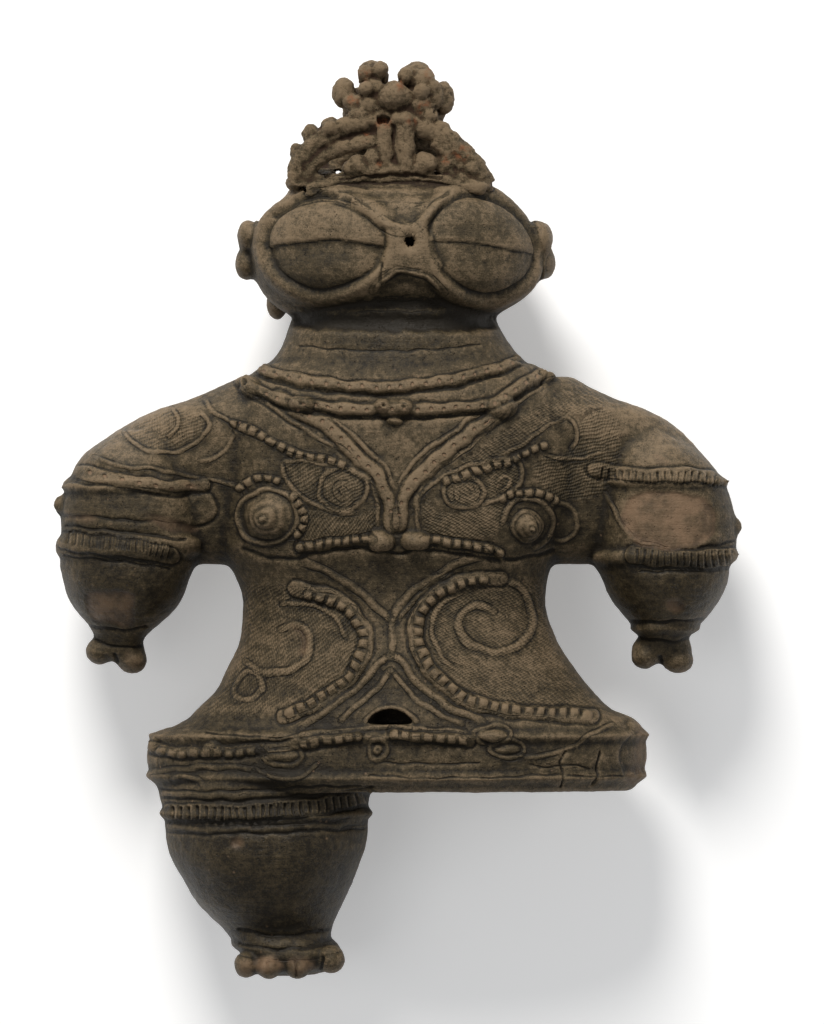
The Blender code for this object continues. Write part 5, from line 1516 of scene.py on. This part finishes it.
class FIGURINE_OT_skin(bpy.types.Operator):
    """Fuses body, crown, limb bands and back cords into one laid-down skin"""

    bl_idname = "figurine.skin"
    bl_label = "Skin"

    def execute(self, context):
        sizes, _ = settings()
        body = bpy.data.objects["body"]
        tree = surface_of(body)
        made = [body, bpy.data.objects["crown"]]
        for number, (region, rows, low, high) in enumerate(BANDS):
            made.append(band(f"band_{number}", region, rows, low, high))
        for number, (region, radius, places) in enumerate(BACK_CORDS):
            flat = smooth_path([region.place(across, up) for across, up in places], CURVE_STEP)
            path = [on_back(tree, p[0], p[1]) for p in flat]
            made.append(tube(f"back_cord_{number}", path, radius))
        figure = joined(FIGURE, made)
        fuse(figure, sizes.fineness * (1.0), 4)
        places, _ = numbers_of(figure)
        put_places(figure, places + LAID_DOWN)
        return {"FINISHED"}


class FIGURINE_OT_relief(bpy.types.Operator):
    """Goggle eyes, cords, bosses, nodules, notches, lines and the clay's unevenness"""

    bl_idname = "figurine.relief"
    bl_label = "Relief"

    def execute(self, context):
        sizes, _ = settings()
        figure = bpy.data.objects[FIGURE]
        places, normals = numbers_of(figure)
        drawing = Drawing(places, normals)
        rise = relief_of(drawing) * drawing.facing * sizes.relief * 0.001
        put_places(figure, places + normals * rise[:, None])
        places, _ = numbers_of(figure)
        crown = ease(*CROWN_CRUMB_EDGE, places[:, 1])
        for name, shares, scale, height, depth in (
            ("crown_lumps", crown, 0.0055, sizes.crown_roughness, 2),
            ("crown_crumbs", crown, 0.0020, sizes.crown_roughness * 0.70, 3),
            ("body_swells", 1 - 0.8 * crown, 0.0160, sizes.undulation, 2),
            ("body_grain", 1 - crown, 0.0028, sizes.undulation * 0.75, 3),
        ):
            group = figure.vertex_groups.new(name=name)
            for level in range(1, 6):
                chosen = np.flatnonzero((shares > (level - 1) / 5) & (shares <= level / 5 + 1e-9))
                group.add(chosen.tolist(), level / 5, "REPLACE")
            pattern = bpy.data.textures.new(name, "CLOUDS")
            pattern.noise_scale = scale
            pattern.noise_depth = depth
            with_modifier(
                figure, "DISPLACE", texture=pattern, texture_coords="LOCAL", vertex_group=name,
                strength=height, mid_level=0.5,
            )
            bpy.data.textures.remove(pattern)
        figure.vertex_groups.clear()
        return {"FINISHED"}


class FIGURINE_OT_holes(bpy.types.Operator):
    """Nose hole, belly slot, eyelet under the crown's arch and the hollow of the broken hip"""

    bl_idname = "figurine.holes"
    bl_label = "Holes"

    def execute(self, context):
        body = bpy.data.objects["body"]
        tree = surface_of(body)
        nose = on_front(tree, *standing(*NOSE_AT))
        slot = on_front(tree, *standing(*SLOT_AT))
        x, y = standing(*EYELET_AT)
        arched = ball("belly_slot", (0, 0, 0), SLOT_SIZE)
        for vert in arched.data.vertices:
            if vert.co.y < 0:
                vert.co.y *= SLOT_FLAT
            vert.co += slot
        bore = [nose + Vector((0, 0, z)) for z in (-NOSE_HOLE_DEPTH, 0, CUTTER_PAST)]
        through = [(x, y, z) for z in (-CUTTER_PAST, MIDDLE, BODY_DEPTH + CUTTER_PAST)]
        made = [
            tube("nose_hole", bore, NOSE_HOLE),
            arched,
            tube("eyelet", through, EYELET),
            ball("hip_hollow", TRUNK.place(*BREAK_AT), BREAK_SIZE),
        ]
        holes = joined("holes", made)
        with_modifier(body, "BOOLEAN", operation="DIFFERENCE", object=holes, solver="EXACT")
        bpy.data.objects.remove(holes, do_unlink=True)
        return {"FINISHED"}


class FIGURINE_OT_finish(bpy.types.Operator):
    """Thins the mesh, gives it its flat resting spots and its fired clay, and rides it on the figure"""

    bl_idname = "figurine.finish"
    bl_label = "Finish"

    def execute(self, context):
        sizes, colours = settings()
        figure = bpy.data.objects[FIGURE]
        self.thin(figure, sizes.triangles)
        self.lay_flat(figure)
        mark_surface(figure)
        figure.data.materials.clear()
        figure.data.materials.append(FiredClay(sizes, colours).material)
        figure.data.shade_smooth()
        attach(figure, "root")
        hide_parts(NODE)
        return {"FINISHED"}

    def thin(self, figure, triangles):
        """Fewer triangles, with more of them left on the front, where the carving is."""
        figure.data.calc_loop_triangles()
        _, normals = numbers_of(figure)
        front = np.flatnonzero(normals[:, 2] > FRONT_SLOPE)
        group = figure.vertex_groups.new(name="thinned")
        group.add(range(len(normals)), 1.0, "REPLACE")
        group.add(front.tolist(), 1.0 - FRONT_CARE, "REPLACE")
        with_modifier(
            figure, "DECIMATE", vertex_group=group.name, vertex_group_factor=CARE_FACTOR,
            ratio=triangles / len(figure.data.loop_triangles),
        )
        figure.vertex_groups.clear()

    def lay_flat(self, figure):
        """Cuts the back level where the figure rests."""
        mesh = bmesh.new()
        mesh.from_mesh(figure.data)
        everything = mesh.verts[:] + mesh.edges[:] + mesh.faces[:]
        bmesh.ops.bisect_plane(
            mesh, geom=everything, dist=FLAT_TOLERANCE, plane_co=(0, 0, 0), plane_no=(0, 0, -1),
            clear_outer=True,
        )
        for vert in mesh.verts:
            if abs(vert.co.z) <= FLAT_TOLERANCE:
                vert.co.z = 0.0
        rims = [edge for edge in mesh.edges if edge.is_boundary]
        bmesh.ops.triangle_fill(mesh, use_beauty=True, use_dissolve=False, edges=rims)
        bmesh.ops.recalc_face_normals(mesh, faces=mesh.faces)
        mesh.to_mesh(figure.data)
        mesh.free()


# The stage: (name, place, width, energy, colour) of each light, the floor and the room
LIGHTS = [
    ("key_light", (-0.40, 1.80, 1.45), 0.85, 56.0, (1.0, 0.98, 0.95)),
    ("side_light", (1.6, 0.5, 0.9), 0.9, 3.5, (0.97, 0.98, 1.0)),
    ("front_light", (-0.95, -0.3, 2.2), 1.2, 6.0, (1.0, 1.0, 1.0)),
]
FLOOR_SIZE = 6.0
FLOOR_COLOUR = (0.92, 0.92, 0.915, 1.0)
# The floor glows a little: painted light that lightens the shadows cast on it and the figure's sides
FLOOR_GLOW = 0.30
ROOM_COLOUR = (0.95, 0.97, 1.0, 1.0)
ROOM_LIGHT = 0.24
SENSOR_WIDTH = 36.0


class FIGURINE_OT_stage(bpy.types.Operator):
    """Pale floor that glows a little as painted light, soft lights and the camera straight above"""

    bl_idname = "figurine.stage"
    bl_label = "Stage"

    def execute(self, context):
        deselect()
        bpy.ops.mesh.primitive_plane_add(size=FLOOR_SIZE, location=(0, 0, 0))
        floor = context.object
        floor.name = "floor"
        paper = Clay("glowing_pale_floor")
        paper.shader.inputs["Base Color"].default_value = FLOOR_COLOUR
        paper.shader.inputs["Roughness"].default_value = 0.95
        paper.shader.inputs["Specular IOR Level"].default_value = 0.1
        # Painted light: the floor glows though it is no lamp
        paper.shader.inputs["Emission Color"].default_value = (1.0, 1.0, 1.0, 1.0)
        paper.shader.inputs["Emission Strength"].default_value = FLOOR_GLOW
        floor.data.materials.append(paper.material)
        for name, place, width, energy, colour in LIGHTS:
            lamp = bpy.data.lights.new(name, "AREA")
            lamp.shape = "DISK"
            lamp.size = width
            lamp.energy = energy
            lamp.color = colour
            light = bpy.data.objects.new(name, lamp)
            light.location = place
            light.rotation_euler = (Vector(AIM) - Vector(place)).to_track_quat("-Z", "Y").to_euler()
            context.scene.collection.objects.link(light)
        world = bpy.data.worlds.new("pale_room")
        world.use_nodes = True
        backdrop = world.node_tree.nodes["Background"]
        backdrop.inputs["Color"].default_value = ROOM_COLOUR
        backdrop.inputs["Strength"].default_value = ROOM_LIGHT
        context.scene.world = world
        context.scene.view_settings.view_transform = "Standard"
        camera = bpy.data.cameras.new("camera")
        camera.sensor_width = SENSOR_WIDTH
        camera.lens = SENSOR_WIDTH * CAMERA_DISTANCE / FRAME_HEIGHT
        viewer = bpy.data.objects.new("camera", camera)
        viewer.location = (AIM[0], AIM[1], AIM[2] + CAMERA_DISTANCE)
        context.scene.collection.objects.link(viewer)
        context.scene.camera = viewer
        return {"FINISHED"}


STEPS = (
    FIGURINE_OT_body, FIGURINE_OT_holes, FIGURINE_OT_crown, FIGURINE_OT_skin, FIGURINE_OT_relief,
    FIGURINE_OT_finish, FIGURINE_OT_stage,
)


class FIGURINE_PT_panel(bpy.types.Panel):
    """Sizes, colours and steps of the figurine"""

    bl_idname = "FIGURINE_PT_panel"
    bl_label = "Figurine"
    bl_space_type = "VIEW_3D"
    bl_region_type = "UI"
    bl_category = "Figurine"

    def draw(self, context):
        for group in settings():
            for key in group.__annotations__:
                self.layout.prop(group, key)
        for step in STEPS:
            self.layout.operator(step.bl_idname)


CLASSES = (FigurineSizes, FigurineColours, *STEPS, FIGURINE_PT_panel)


def register():
    for each in CLASSES:
        bpy.utils.register_class(each)
    bpy.types.Scene.figurine_sizes = PointerProperty(type=FigurineSizes)
    bpy.types.Scene.figurine_colours = PointerProperty(type=FigurineColours)


def unregister():
    del bpy.types.Scene.figurine_colours
    del bpy.types.Scene.figurine_sizes
    for each in reversed(CLASSES):
        bpy.utils.unregister_class(each)


def main():
    register()
    bpy.ops.figurine.body()
    bpy.ops.figurine.holes()
    bpy.ops.figurine.crown()
    bpy.ops.figurine.skin()
    bpy.ops.figurine.relief()
    bpy.ops.figurine.finish()
    bpy.ops.figurine.stage()


if __name__ == "__main__":
    main()
